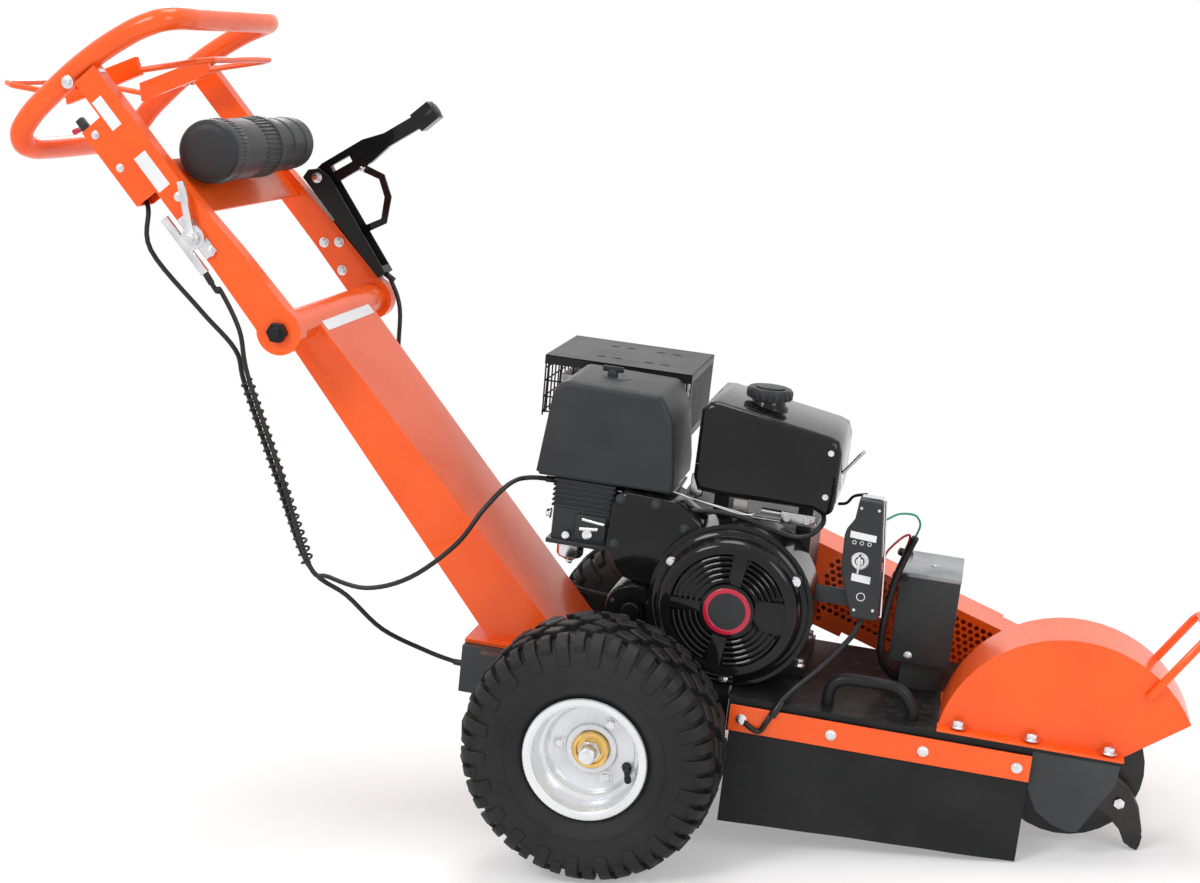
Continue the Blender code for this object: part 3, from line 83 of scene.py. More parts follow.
# ---------------------------------------------------------------- camera
LENS = 57.0                                  # millimetres on a 36 mm frame
YAW, PITCH, ROLL = math.radians(11.03), math.radians(12.53), math.radians(6.17)
EYE = Vector((0.447, -2.761, 0.999))


def make_camera():
    """Looks at the machine's near side from a little above, a little tilted against its deck."""
    back = Vector((math.sin(YAW) * math.cos(PITCH), -math.cos(YAW) * math.cos(PITCH), math.sin(PITCH)))
    right = (-back).cross(Vector((0, 0, 1))).normalized()
    up = right.cross(-back)
    across = math.cos(ROLL) * right + math.sin(ROLL) * up
    above = math.cos(ROLL) * up - math.sin(ROLL) * right
    turn = Matrix((across, above, back)).transposed().to_4x4()
    data = bpy.data.cameras.new("camera")
    data.lens = LENS
    data.sensor_width = 36.0
    camera = bpy.data.objects.new("camera", data)
    bpy.context.scene.collection.objects.link(camera)
    camera.matrix_world = DECK @ Matrix.Translation(EYE) @ turn
    bpy.context.scene.camera = camera


# ---------------------------------------------------------------- shader groups
def group(name, inputs, outputs):
    """An empty node group with its named sockets, and its input and output nodes."""
    tree = bpy.data.node_groups.new(name, "ShaderNodeTree")
    for label, kind, value in inputs:
        socket = tree.interface.new_socket(label, in_out="INPUT", socket_type=f"NodeSocket{kind}")
        if value is not None:
            socket.default_value = value
    for label, kind in outputs:
        tree.interface.new_socket(label, in_out="OUTPUT", socket_type=f"NodeSocket{kind}")
    return tree, tree.nodes.new("NodeGroupInput"), tree.nodes.new("NodeGroupOutput")


def feed(tree, node, **given):
    """Set or link a node's inputs, written with _ for a space."""
    for label, value in given.items():
        socket = node.inputs[label.replace("_", " ")]
        if isinstance(value, bpy.types.NodeSocket):
            tree.links.new(value, socket)
        else:
            socket.default_value = value


def noise(tree, place, scale, detail=4.0, rough=0.55):
    """The value of a noise texture."""
    node = tree.nodes.new("ShaderNodeTexNoise")
    feed(tree, node, Detail=detail, Roughness=rough, Vector=place, Scale=scale)
    return node.outputs["Fac"]


def spread(tree, value, low, high, to_low=0.0, to_high=1.0):
    """A value eased from one range to another."""
    node = tree.nodes.new("ShaderNodeMapRange")
    node.interpolation_type = "SMOOTHSTEP"
    feed(tree, node, From_Min=low, From_Max=high, To_Min=to_low, To_Max=to_high, Value=value)
    return node.outputs["Result"]


def maths(tree, operation, first, second):
    """One Math node."""
    node = tree.nodes.new("ShaderNodeMath")
    node.operation = operation
    for socket, value in zip(node.inputs, (first, second)):
        if isinstance(value, (int, float)):
            socket.default_value = value
        else:
            tree.links.new(value, socket)
    return node.outputs[0]


MIX_FIRST, MIX_SECOND, MIX_RESULT = 6, 7, 2  # the Mix node's colour sockets


def blend_colours(tree, mask, first, second):
    """Two colours mixed by a mask."""
    node = tree.nodes.new("ShaderNodeMix")
    node.data_type = "RGBA"
    for value, socket in ((mask, 0), (first, MIX_FIRST), (second, MIX_SECOND)):
        tree.links.new(value, node.inputs[socket])
    return node.outputs[MIX_RESULT]


def make_weathering():
    """Patchy colour, faint dust on what faces up, and scuffs, over one base colour."""
    tree, given, result = group(
        "weathering",
        [("Place", "Vector", None), ("Base", "Color", (0.5, 0.5, 0.5, 1)),
         ("Deep", "Color", (0.4, 0.4, 0.4, 1)),
         ("Dust", "Color", (0.45, 0.4, 0.34, 1)), ("Patch Scale", "Float", 9.0),
         ("Dust Amount", "Float", 0.1),
         ("Scuff Amount", "Float", 0.1), ("Shine", "Float", 0.3), ("Dull", "Float", 0.5)],
        [("Color", "Color"), ("Roughness", "Float"), ("Scuff", "Float")])
    place = given.outputs["Place"]
    patches = spread(tree, noise(tree, place, given.outputs["Patch Scale"]), 0.35, 0.68)
    colour = blend_colours(tree, patches, given.outputs["Base"], given.outputs["Deep"])
    face = tree.nodes.new("ShaderNodeNewGeometry")
    split = tree.nodes.new("ShaderNodeSeparateXYZ")
    tree.links.new(face.outputs["Normal"], split.inputs["Vector"])
    upward = spread(tree, split.outputs["Z"], 0.2, 1.0)
    specks = spread(tree, noise(tree, place, 55.0, 6.0, 0.7), 0.48, 0.72)
    dust = maths(tree, "MULTIPLY", maths(tree, "MULTIPLY", upward, specks), given.outputs["Dust Amount"])
    colour = blend_colours(tree, dust, colour, given.outputs["Dust"])
    streaks = spread(tree, noise(tree, place, 140.0, 3.0, 0.6), 0.62, 0.8)
    scuff = maths(tree, "MULTIPLY", streaks, given.outputs["Scuff Amount"])
    mottled = maths(tree, "ADD", maths(tree, "MULTIPLY", patches, 0.5), maths(tree, "MULTIPLY", specks, 0.5))
    gap = maths(tree, "SUBTRACT", given.outputs["Dull"], given.outputs["Shine"])
    rough = maths(tree, "ADD", maths(tree, "MULTIPLY", gap, mottled), given.outputs["Shine"])
    feed(tree, result, Color=colour, Roughness=maths(tree, "ADD", rough, scuff), Scuff=scuff)
    return tree


def make_grain():
    """Height of a fine surface: a pebbled one, with softer waves under it."""
    tree, given, result = group(
        "surface_grain",
        [("Place", "Vector", None), ("Pebble Scale", "Float", 900.0), ("Pebble", "Float", 0.5),
         ("Wave Scale", "Float", 60.0), ("Wave", "Float", 0.5)],
        [("Height", "Float")])
    place = given.outputs["Place"]
    pebbles = maths(tree, "MULTIPLY", noise(tree, place, given.outputs["Pebble Scale"], 2.0),
                    given.outputs["Pebble"])
    waves = maths(tree, "MULTIPLY", noise(tree, place, given.outputs["Wave Scale"], 2.0),
                  given.outputs["Wave"])
    feed(tree, result, Height=maths(tree, "ADD", pebbles, waves))
    return tree


WEATHERING = make_weathering()
GRAIN = make_grain()
COAT_ROUGHNESS = 0.05


def finish(name, base, deep, shine, dull, metal=0.0, coat=0.0, mirror=0.5, grain=(900, 0.5), waves=(60, 0.5),
           depth=0.0002, dust=0.08, scuffs=0.05, patch=9.0):
    """A material from the two groups."""
    material = bpy.data.materials.new(name)
    material.use_nodes = True
    tree = material.node_tree
    place = tree.nodes.new("ShaderNodeTexCoord").outputs["Object"]
    weather = tree.nodes.new("ShaderNodeGroup")
    weather.node_tree = WEATHERING
    feed(tree, weather, Place=place, Base=(*base, 1), Deep=(*deep, 1), Patch_Scale=patch, Dust_Amount=dust,
         Scuff_Amount=scuffs, Shine=shine, Dull=dull)
    surface = tree.nodes.new("ShaderNodeGroup")
    surface.node_tree = GRAIN
    feed(tree, surface, Place=place, Pebble_Scale=grain[0], Pebble=grain[1], Wave_Scale=waves[0],
         Wave=waves[1])
    bump = tree.nodes.new("ShaderNodeBump")
    feed(tree, bump, Distance=depth, Height=surface.outputs["Height"])
    feed(tree, tree.nodes["Principled BSDF"], Metallic=metal, Coat_Weight=coat,
         Coat_Roughness=COAT_ROUGHNESS, Specular_IOR_Level=mirror, Base_Color=weather.outputs["Color"],
         Roughness=weather.outputs["Roughness"], Normal=bump.outputs["Normal"])
    return material


ORANGE = finish("orange_powder_coat", (0.92, 0.108, 0.01), (0.86, 0.094, 0.008), 0.24, 0.36, coat=0.2,
                mirror=0.3, grain=(260, 0.35), waves=(24, 0.6), depth=0.0002)
GLOSS = finish("gloss_black_enamel", (0.006, 0.006, 0.0065), (0.009, 0.009, 0.0095), 0.1, 0.2, coat=0.2,
               mirror=0.16, grain=(180, 0.2), waves=(16, 0.6), depth=0.0003)
SATIN = finish("satin_black_paint", (0.01, 0.0105, 0.011), (0.016, 0.016, 0.017), 0.32, 0.48, mirror=0.2,
               grain=(500, 0.5), depth=0.0003)
GREY = finish("dark_grey_paint", (0.036, 0.04, 0.042), (0.048, 0.051, 0.052), 0.34, 0.5, mirror=0.22,
              grain=(600, 0.5), depth=0.0003)
MOULDED = finish("dark_moulded_plastic", (0.022, 0.023, 0.025), (0.028, 0.029, 0.031), 0.38, 0.54,
                 mirror=0.3, grain=(1100, 0.9), waves=(30, 0.3), depth=0.0003)
CAST = finish("black_cast_metal", (0.014, 0.014, 0.015), (0.028, 0.028, 0.029), 0.34, 0.56, mirror=0.3,
              grain=(420, 0.9), waves=(80, 0.6), depth=0.0005)
STEEL = finish("bare_steel", (0.5, 0.5, 0.51), (0.36, 0.35, 0.34), 0.24, 0.45, metal=1.0, grain=(700, 0.4),
               depth=0.0002)
ZINC = finish("bright_zinc", (0.8, 0.8, 0.82), (0.62, 0.62, 0.64), 0.18, 0.34, metal=1.0, grain=(700, 0.3),
              depth=0.0001, patch=40.0)
SILVER = finish("silver_wheel_paint", (0.78, 0.79, 0.81), (0.7, 0.71, 0.73), 0.22, 0.36, metal=0.35,
                coat=0.3, grain=(500, 0.4), depth=0.0002)
YELLOW_ZINC = finish("yellow_zinc", (0.78, 0.52, 0.15), (0.64, 0.42, 0.18), 0.22, 0.4, metal=1.0,
                     depth=0.0002, patch=40.0)
RUBBER = finish("black_rubber", (0.01, 0.0105, 0.011), (0.018, 0.0185, 0.019), 0.46, 0.66, mirror=0.2,
                grain=(380, 0.6), waves=(14, 1.2), depth=0.0008, dust=0.1, scuffs=0.1)
TYRE = finish("tyre_rubber", (0.011, 0.011, 0.012), (0.019, 0.019, 0.019), 0.5, 0.72, mirror=0.25,
              grain=(500, 0.8), waves=(90, 0.6), depth=0.0006, dust=0.08, scuffs=0.08)
CABLE = finish("cable_sheath", (0.008, 0.008, 0.009), (0.013, 0.013, 0.013), 0.3, 0.46, mirror=0.35,
               grain=(900, 0.3), depth=0.0002)
CRIMSON = finish("crimson_enamel", (0.5, 0.012, 0.045), (0.44, 0.01, 0.036), 0.2, 0.3, coat=0.4, mirror=0.3,
                 depth=0.0001)
LID = finish("worn_grey_lid", (0.3, 0.31, 0.32), (0.22, 0.23, 0.24), 0.24, 0.4, metal=0.4, grain=(600, 0.4),
             depth=0.0002, patch=24.0)
PALE = finish("pale_plate", (0.8, 0.81, 0.82), (0.72, 0.73, 0.74), 0.3, 0.45, depth=0.0001)
GREEN = finish("green_wire", (0.01, 0.26, 0.14), (0.008, 0.2, 0.11), 0.35, 0.5, depth=0.0001)
RED = finish("red_wire", (0.3, 0.008, 0.014), (0.24, 0.007, 0.01), 0.35, 0.5, depth=0.0001)
BLADE = finish("cutter_steel", (0.02, 0.02, 0.021), (0.045, 0.043, 0.041), 0.3, 0.52, metal=0.35,
               mirror=0.35, grain=(300, 0.6), depth=0.0004, scuffs=0.2)


# ---------------------------------------------------------------- shaping
def seated(shape, made, at):
    """Take new vertices to their place, where one is given."""
    if at is not None:
        bmesh.ops.transform(shape, matrix=at, verts=made)


def soften(shape, edges, width, steps=2):
    """Round these edges."""
    bmesh.ops.bevel(shape, geom=edges, offset=width, segments=steps, profile=0.5, affect="EDGES",
                    material=-1)


def sharp_edges(shape, angle=0.3):
    """The edges whose two faces turn by more than an angle in radians."""
    return [edge for edge in shape.edges if edge.calc_face_angle(0) > angle]


def thicken(shape, faces, way):
    """Grow a sheet's faces by a vector, and give back the vertices of its far side."""
    grown = bmesh.ops.extrude_face_region(shape, geom=faces)["geom"]
    lifted = [item for item in grown if isinstance(item, bmesh.types.BMVert)]
    bmesh.ops.translate(shape, vec=way, verts=lifted)
    return lifted


def block(shape, low, high, round_off=0.0, steps=2, at=None):
    """A block between two corners, with every edge rounded."""
    low, high = Vector(low), Vector(high)
    made = bmesh.ops.create_cube(shape, size=1)["verts"]
    bmesh.ops.scale(shape, vec=high - low, verts=made)
    bmesh.ops.translate(shape, vec=(low + high) / 2, verts=made)
    seated(shape, made, at)
    if round_off:
        soften(shape, list({edge for vert in made for edge in vert.link_edges}), round_off, steps)


def rod(shape, start, end, radius, sides=20, tip=None, round_off=0.0):
    """A round bar or cone between two points."""
    start, end = Vector(start), Vector(end)
    along = end - start
    at = Matrix.Translation((start + end) / 2) @ along.to_track_quat("Z", "Y").to_matrix().to_4x4()
    made = bmesh.ops.create_cone(shape, cap_ends=True, segments=sides, radius1=radius,
                                 radius2=radius if tip is None else tip, depth=along.length,
                                 matrix=at)["verts"]
    if round_off:
        rims = [edge for edge in {e for vert in made for e in vert.link_edges}
                if any(len(face.verts) > 4 for face in edge.link_faces)]
        soften(shape, rims, round_off)


def turned(shape, centre, direction, outline, steps=48, loop=True):
    """An outline of (distance along, radius) spun about a line through the centre."""
    tag_all(shape)
    verts = [shape.verts.new((radius, 0, along)) for along, radius in outline]
    pairs = list(zip(verts, verts[1:])) + ([(verts[-1], verts[0])] if loop else [])
    edges = [shape.edges.new(pair) for pair in pairs]
    bmesh.ops.spin(shape, geom=verts + edges, cent=(0, 0, 0), axis=(0, 0, 1), angle=2 * math.pi, steps=steps,
                   use_merge=True)
    made = [vert for vert in shape.verts if vert.is_valid and not vert.tag]
    at = Matrix.Translation(centre) @ Vector(direction).to_track_quat("Z", "Y").to_matrix().to_4x4()
    bmesh.ops.transform(shape, matrix=at, verts=made)
    bmesh.ops.remove_doubles(shape, verts=made, dist=0.00001)
    tag_all(shape)


def tag_all(shape):
    """Mark the vertices that are there already."""
    for vert in shape.verts:
        vert.tag = True


def cut_sheet(shape, outlines, thickness, at):
    """A flat sheet from an edge and its holes, in the XY plane of a matrix, grown along its Z."""
    edges = []
    made = []
    for outline in outlines:
        verts = [shape.verts.new((x, y, 0)) for x, y in outline]
        made += verts
        edges += [shape.edges.new(pair) for pair in zip(verts, verts[1:] + verts[:1])]
    filled = bmesh.ops.triangle_fill(shape, edges=edges, use_beauty=True, normal=(0, 0, 1))["geom"]
    faces = [item for item in filled if isinstance(item, bmesh.types.BMFace)]
    seated(shape, made + thicken(shape, faces, (0, 0, thickness)), at)


def upright(y):
    """The plane of a sheet seen from the near side: its X is along, its Y is up, and it grows towards -Y."""
    return Matrix.Translation((0, y, 0)) @ Matrix.Rotation(math.pi / 2, 4, "X")


def ring(x, y, radius, count, start=0.0, tall=None):
    """The edge of a round hole in a sheet, or of an oval one where its height is given too."""
    tall = radius if tall is None else tall
    return [(x + radius * math.cos(turn), y + tall * math.sin(turn))
            for turn in (start + 2 * math.pi * k / count for k in range(count))]


def tube(shape, points, radius, sides=2, closed=False, smooth=True):
    """A round tube along points; smooth runs a fair curve through them."""
    curve = bpy.data.curves.new("tube", "CURVE")
    curve.dimensions = "3D"
    curve.bevel_depth = radius
    curve.bevel_resolution = sides
    curve.use_fill_caps = True
    spline = curve.splines.new("POLY")
    route = fair(points, closed) if smooth else [Vector(p) for p in points]
    spline.points.add(len(route) - 1)
    for spot, point in zip(spline.points, route):
        spot.co = (*point, 1)
    spline.use_cyclic_u = closed
    obj = bpy.data.objects.new("tube", curve)
    bpy.context.scene.collection.objects.link(obj)
    graph = bpy.context.evaluated_depsgraph_get()
    mesh = bpy.data.meshes.new_from_object(obj.evaluated_get(graph))
    shape.from_mesh(mesh)
    bpy.data.objects.remove(obj)
    bpy.data.meshes.remove(mesh)


def fair(points, closed=False, per_span=6):
    """Points of a smooth curve through the given ones."""
    points = [Vector(p) for p in points]
    count = len(points)
    route = []
    spans = count if closed else count - 1
    for i in range(spans):
        if closed:
            a, b, c, d = (points[(i + k) % count] for k in (-1, 0, 1, 2))
        else:
            b, c = points[i], points[i + 1]
            a = points[i - 1] if i else b - (c - b)
            d = points[i + 2] if i + 2 < count else c + (c - b)
        for k in range(per_span):
            t = k / per_span
            route.append(0.5 * (2 * b + (c - a) * t + (2 * a - 5 * b + 4 * c - d) * t * t
                                + (3 * b - a - 3 * c + d) * t ** 3))
    if not closed:
        route.append(points[-1])
    return route


def bolt(shape, place, direction, width=0.013, height=0.006, washer=0.0):
    """A hexagon head standing on a face, on a round flange or washer."""
    place, direction = Vector(place), Vector(direction).normalized()
    base = place
    if washer:
        rod(shape, place - direction * 0.0004, place + direction * 0.0012, washer, 20, round_off=0.0003)
        base = place + direction * 0.0011
    rod(shape, base, base + direction * height, width / 2 / math.cos(math.pi / 6), 6, round_off=0.0006)
    rod(shape, base + direction * (height - 0.0003), base + direction * (height + 0.0006), width * 0.3, 12)


def made_piece(name, shape, paint, body, at=DECK, edge=0.0, smooth=40, blended=None):
    """The finished piece, in the row's frame, riding on its body, or baked in place on no body where blended
    is given.
    """
    bmesh.ops.remove_doubles(shape, verts=shape.verts, dist=0.000005)
    bmesh.ops.recalc_face_normals(shape, faces=shape.faces)
    if at is not None:
        bmesh.ops.transform(shape, matrix=at, verts=shape.verts)
    mesh = bpy.data.meshes.new(name)
    shape.to_mesh(mesh)
    shape.free()
    mesh.materials.append(paint)
    mesh.shade_smooth()
    mesh.set_sharp_from_angle(angle=math.radians(smooth))
    obj = bpy.data.objects.new(name, mesh)
    bpy.context.scene.collection.objects.link(obj)
    if edge:
        round_edges(obj, edge)
    if blended:
        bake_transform(obj)
    else:
        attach(obj, body)
    return obj


def round_edges(obj, width):
    """Bevel every sharp edge of a finished piece."""
    step = obj.modifiers.new("edges", "BEVEL")
    step.width = width
    step.segments = 2
    step.limit_method = "ANGLE"
    step.angle_limit = math.radians(38)


def refined(node, paint, body, edge=0.0008, smooth=38):
    """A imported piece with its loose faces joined, its edges rounded and its finish on."""
    shape = bmesh.new()
    shape.from_mesh(nodes[node].data)
    bmesh.ops.remove_doubles(shape, verts=shape.verts, dist=0.00002)
    bmesh.ops.dissolve_limit(shape, angle_limit=math.radians(0.6), verts=shape.verts, edges=shape.edges)
    piece = made_piece(f"{node}_finished", shape, paint, body, at=None, edge=edge, smooth=smooth)
    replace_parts(piece, node)


# ---------------------------------------------------------------- wheels
TYRE_RADIUS = 0.185
PITCHES = 22                                 # the tread's pattern repeats so often round the tyre
TREAD_FLOOR = 0.17
# each row of crown blocks: its two edges across the tyre, where in the pitch it starts, and a block's width
TREAD_ROWS = ((-0.0215, -0.002, 0.0, 0.03), (0.002, 0.0215, 0.5, 0.03), (0.0245, 0.044, 0.2, 0.027),
              (-0.044, -0.0245, 0.7, 0.027))
TREAD_SKEW = math.radians(24)


def tyre(side, outward):
    """A carcass turned about the axle with blocks round its crown and lugs down each shoulder."""
    shape = bmesh.new()
    half = [(0.056, 0.078), (0.058, 0.09), (0.06, 0.093), (0.066, 0.0985), (0.0705, 0.106),
            (0.0735, 0.113), (0.0748, 0.1135), (0.0748, 0.1165), (0.074, 0.117), (0.0745, 0.126),
            (0.0742, 0.138), (0.0725, 0.148), (0.069, 0.157), (0.063, 0.165), (0.054, 0.1705),
            (0.04, 0.174), (0.02, 0.1758)]
    outline = half + [(-y, r) for y, r in reversed(half)]
    turned(shape, (0, 0, 0), (0, 1, 0), outline, 72)
    lug = [(0.048, 0.17), (0.048, 0.1806), (0.056, 0.1792), (0.065, 0.1742), (0.0715, 0.1655),
           (0.0752, 0.153), (0.0762, 0.14), (0.0715, 0.1385)]
    short_lug = [*lug[:5], (0.069, 0.156)]
    for i in range(PITCHES):
        for low, high, start, width in TREAD_ROWS:
            angle = 2 * math.pi * (i + start) / PITCHES
            skew = Matrix.Rotation(math.copysign(TREAD_SKEW, low), 4, "Z")
            middle = (low + high) / 2
            top = TYRE_RADIUS if abs(middle) < 0.03 else TYRE_RADIUS - 0.0012
            at = (Matrix.Rotation(angle, 4, "Y") @ Matrix.Translation((0, middle, 0)) @ skew
                  @ Matrix.Translation((0, -middle, 0)))
            block(shape, (-width / 2, low, TREAD_FLOOR), (width / 2, high, top), 0.0016, 1, at)
        for flip in (-1, 1):
            for start, width, points in ((0.0, 0.017, lug), (0.5, 0.014, short_lug)):
                angle = 2 * math.pi * (i + start + (0.25 if flip > 0 else 0)) / PITCHES
                verts = [shape.verts.new((-width / 2, flip * y, r)) for y, r in points]
                made = verts + thicken(shape, [shape.faces.new(verts)], (width, 0, 0))
                bmesh.ops.rotate(shape, verts=made, cent=(0, 0, 0), matrix=Matrix.Rotation(angle, 3, "Y"))
                edges = list({e for v in made for e in v.link_edges if e.calc_length() > 0.003})
                soften(shape, edges, 0.0009, 1)
    at = DECK @ Matrix.Translation((0, outward * WHEEL_SIDE, 0))
    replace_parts(made_piece(f"tread_{side}", shape, TYRE, f"wheel_{side}", at=at, smooth=32),
                f"tyre_{side}")


def rim(side, outward):
    """A pressed steel rim: rolled flanges, a stepped dish, three bolts and a valve."""
    shape = bmesh.new()
    face = [(0.056, 0.0776), (0.0575, 0.08), (0.058, 0.0845), (0.0595, 0.0875), (0.0625, 0.0888),
            (0.065, 0.0875), (0.066, 0.0845), (0.0655, 0.081), (0.0625, 0.0765), (0.057, 0.0742),
            (0.033, 0.073), (0.0285, 0.0722), (0.0262, 0.07), (0.0255, 0.0662), (0.0225, 0.064),
            (0.016, 0.0628), (0.0138, 0.0605), (0.013, 0.056), (0.013, 0.04), (0.014, 0.0375),
            (0.0175, 0.0355), (0.018, 0.0335), (0.018, 0.0278)]
    back = [(0.015, 0.0278), (0.015, 0.0325), (0.01, 0.037), (0.01, 0.059), (0.015, 0.0655),
            (0.018, 0.066), (0.0225, 0.075), (0.0, 0.0755), (-0.056, 0.0755), (-0.062, 0.078),
            (-0.064, 0.085), (-0.062, 0.0888), (-0.058, 0.086), (-0.056, 0.0776)]
    turned(shape, (0, outward * WHEEL_SIDE, 0), (0, outward, 0), face + back, 96)
    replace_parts(made_piece(f"rim_{side}_pressed", shape, SILVER, f"wheel_{side}", smooth=30),
                f"rim_{side}")
    shape = bmesh.new()
    centre = Vector((0, 0, 0))
    for degrees in (60, 180, -58):
        spot = on_circle(centre, 0.0465, degrees, outward * (WHEEL_SIDE + 0.0129))
        bolt(shape, spot, (0, outward, 0), 0.0125, 0.0055, 0.0088)
    nut_face = outward * (WHEEL_SIDE + 0.0505)
    rod(shape, (0, nut_face - outward * 0.004, 0), (0, nut_face, 0), 0.0092, 24, round_off=0.001)
    made_piece(f"rim_{side}_bolts", shape, ZINC, f"wheel_{side}")
    shape = bmesh.new()
    foot = on_circle(centre, 0.056, -20, outward * (WHEEL_SIDE + 0.013))
    bend = on_circle(centre, 0.058, -20, outward * (WHEEL_SIDE + 0.024))
    head = on_circle(centre, 0.064, -20, outward * (WHEEL_SIDE + 0.044))
    rod(shape, foot, bend, 0.0075, 16, tip=0.005)
    rod(shape, bend, head, 0.0042, 16, round_off=0.0004)
    rod(shape, head, head + (head - bend).normalized() * 0.01, 0.005, 16, round_off=0.0012)
    made_piece(f"rim_{side}_valve", shape, RUBBER, f"wheel_{side}")
    shape = bmesh.new()
    sleeve = [(-0.04, 0.0128), (-0.04, 0.0225), (0.015, 0.0225), (0.015, 0.027), (0.0235, 0.027),
              (0.025, 0.0255), (0.025, 0.0205), (0.0215, 0.0195), (0.0215, 0.0128)]
    turned(shape, (0, outward * WHEEL_SIDE, 0), (0, outward, 0), sleeve, 48)
    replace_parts(made_piece(f"hub_{side}_sleeve", shape, YELLOW_ZINC, f"wheel_{side}"),
                f"hub_{side}")


for wheel, outward in (("near", -1), ("far", 1)):
    tyre(wheel, outward)
    rim(wheel, outward)


# ---------------------------------------------------------------- engine
FAN_FRONT = -0.17
LOUVRE_RADII = (0.046, 0.054, 0.062, 0.07, 0.078)
LOUVRE_SECTORS = ((22, 72), (92, 172), (188, 250), (272, 338))
EARS = (149, 31, -88)                        # where the cover's ears are round the crank, in degrees
EAR_CIRCLE = 0.1035
STARTER = Vector((0.012, 0, 0.168))          # axis of the electric starter's nose


def recoil_starter():
    """The starter's dished cover: arcs of louvres between solid bands round a boss."""
    shape = bmesh.new()
    outline = [(0.0, 0.112), (0.005, 0.112), (0.0075, 0.11), (0.0095, 0.1045), (0.0215, 0.1),
               (0.0265, 0.096), (0.0285, 0.09), (0.0285, 0.0835), (0.0235, 0.0815), (0.0195, 0.08),
               (0.0195, 0.04), (0.0285, 0.0385), (0.0295, 0.036), (0.0295, 0.0), (0.012, 0.0), (0.006, 0.09)]
    turned(shape, (CRANK.x, FAN_FRONT, CRANK.z), (0, -1, 0), outline, 96)
    front = FAN_FRONT - 0.0262
    for radius in LOUVRE_RADII:
        for start, end in LOUVRE_SECTORS:
            steps = max(4, round((end - start) / 6))
            arc = [on_circle(CRANK, radius, start + (end - start) * k / steps, front)
                   for k in range(steps + 1)]
            tube(shape, arc, 0.0021, 1, smooth=False)
    after = [*LOUVRE_SECTORS[1:], [degrees + 360 for degrees in LOUVRE_SECTORS[0]]]
    for (_, start), (end, _) in zip(LOUVRE_SECTORS, after):
        middle = math.radians((start + end) / 2)
        turn = Matrix.Translation((CRANK.x, 0, CRANK.z)) @ Matrix.Rotation(-middle, 4, "Y")
        wide = 0.06 * math.radians(end - start) * 0.5
        block(shape, (0.038, FAN_FRONT - 0.0275, -wide), (0.084, FAN_FRONT - 0.018, wide), 0.002, 2, turn)
    for degrees in EARS:
        ear = on_circle(CRANK, EAR_CIRCLE, degrees, 0)
        rod(shape, (ear.x, FAN_FRONT + 0.0005, ear.z), (ear.x, FAN_FRONT - 0.01, ear.z), 0.0115, 24,
            tip=0.01, round_off=0.001)
    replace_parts(made_piece("recoil_housing", shape, GLOSS, "chassis", smooth=34),
                "recoil_cover")
    shape = bmesh.new()
    for degrees in EARS:
        ear = on_circle(CRANK, EAR_CIRCLE, degrees, FAN_FRONT - 0.01)
        bolt(shape, ear, (0, -1, 0), 0.01, 0.005, 0.008)
    made_piece("recoil_bolts", shape, ZINC, "chassis")
    shape = bmesh.new()
    centre = (CRANK.x, FAN_FRONT - 0.0294, CRANK.z)
    turned(shape, centre, (0, -1, 0), [(0, 0.0335), (0.001, 0.034), (0.0018, 0.033), (0.0018, 0.0275),
                                      (0.0012, 0.0268), (0, 0.0268)], 64)
    made_piece("starter_badge_ring", shape, CRIMSON, "chassis")
    shape = bmesh.new()
    turned(shape, centre, (0, -1, 0), [(0, 0.0), (0, 0.027), (0.0008, 0.0268), (0.0012, 0.0)], 64,
           loop=False)
    made_piece("starter_badge_disc", shape, MOULDED, "chassis")


def fan_shroud():
    """Sheet steel that leads the fan's air over the cylinder, with its boss for the electric starter."""
    shape = bmesh.new()
    outline = [(0.1, 0.312), (0.06, 0.338), (-0.02, 0.342), (-0.036, 0.322), (-0.04, 0.25),
               (-0.016, 0.215), (0.05, 0.2), (0.12, 0.24)]
    cut_sheet(shape, [outline], 0.066, upright(-0.0885))
    soften(shape, sharp_edges(shape), 0.009, 4)
    made_piece("cylinder_shroud", shape, GLOSS, "chassis", smooth=50)
    shape = bmesh.new()
    turned(shape, (STARTER.x, -0.087, STARTER.z), (0, -1, 0),
           [(0, 0.0), (0, 0.0405), (0.06, 0.0405), (0.07, 0.038), (0.0755, 0.032),
                                   (0.077, 0.024), (0.077, 0.0)], 40, loop=False)
    rod(shape, (STARTER.x, -0.16, STARTER.z), (STARTER.x, -0.1668, STARTER.z), 0.016, 24, tip=0.013,
        round_off=0.001)
    made_piece("starter_nose", shape, GLOSS, "chassis", smooth=40)
    shape = bmesh.new()
    for x, z in ((0.075, 0.3), (-0.022, 0.33), (-0.024, 0.262), (0.03, 0.33)):
        bolt(shape, (x, -0.154, z), (0, -1, 0), 0.009, 0.004, 0.0072)
    for degrees in (35, 155, 275):
        spot = on_circle(STARTER, 0.031, degrees, -0.1618)
        bolt(shape, spot, (0, -1, 0), 0.006, 0.003)
    made_piece("shroud_bolts", shape, GREY, "chassis")


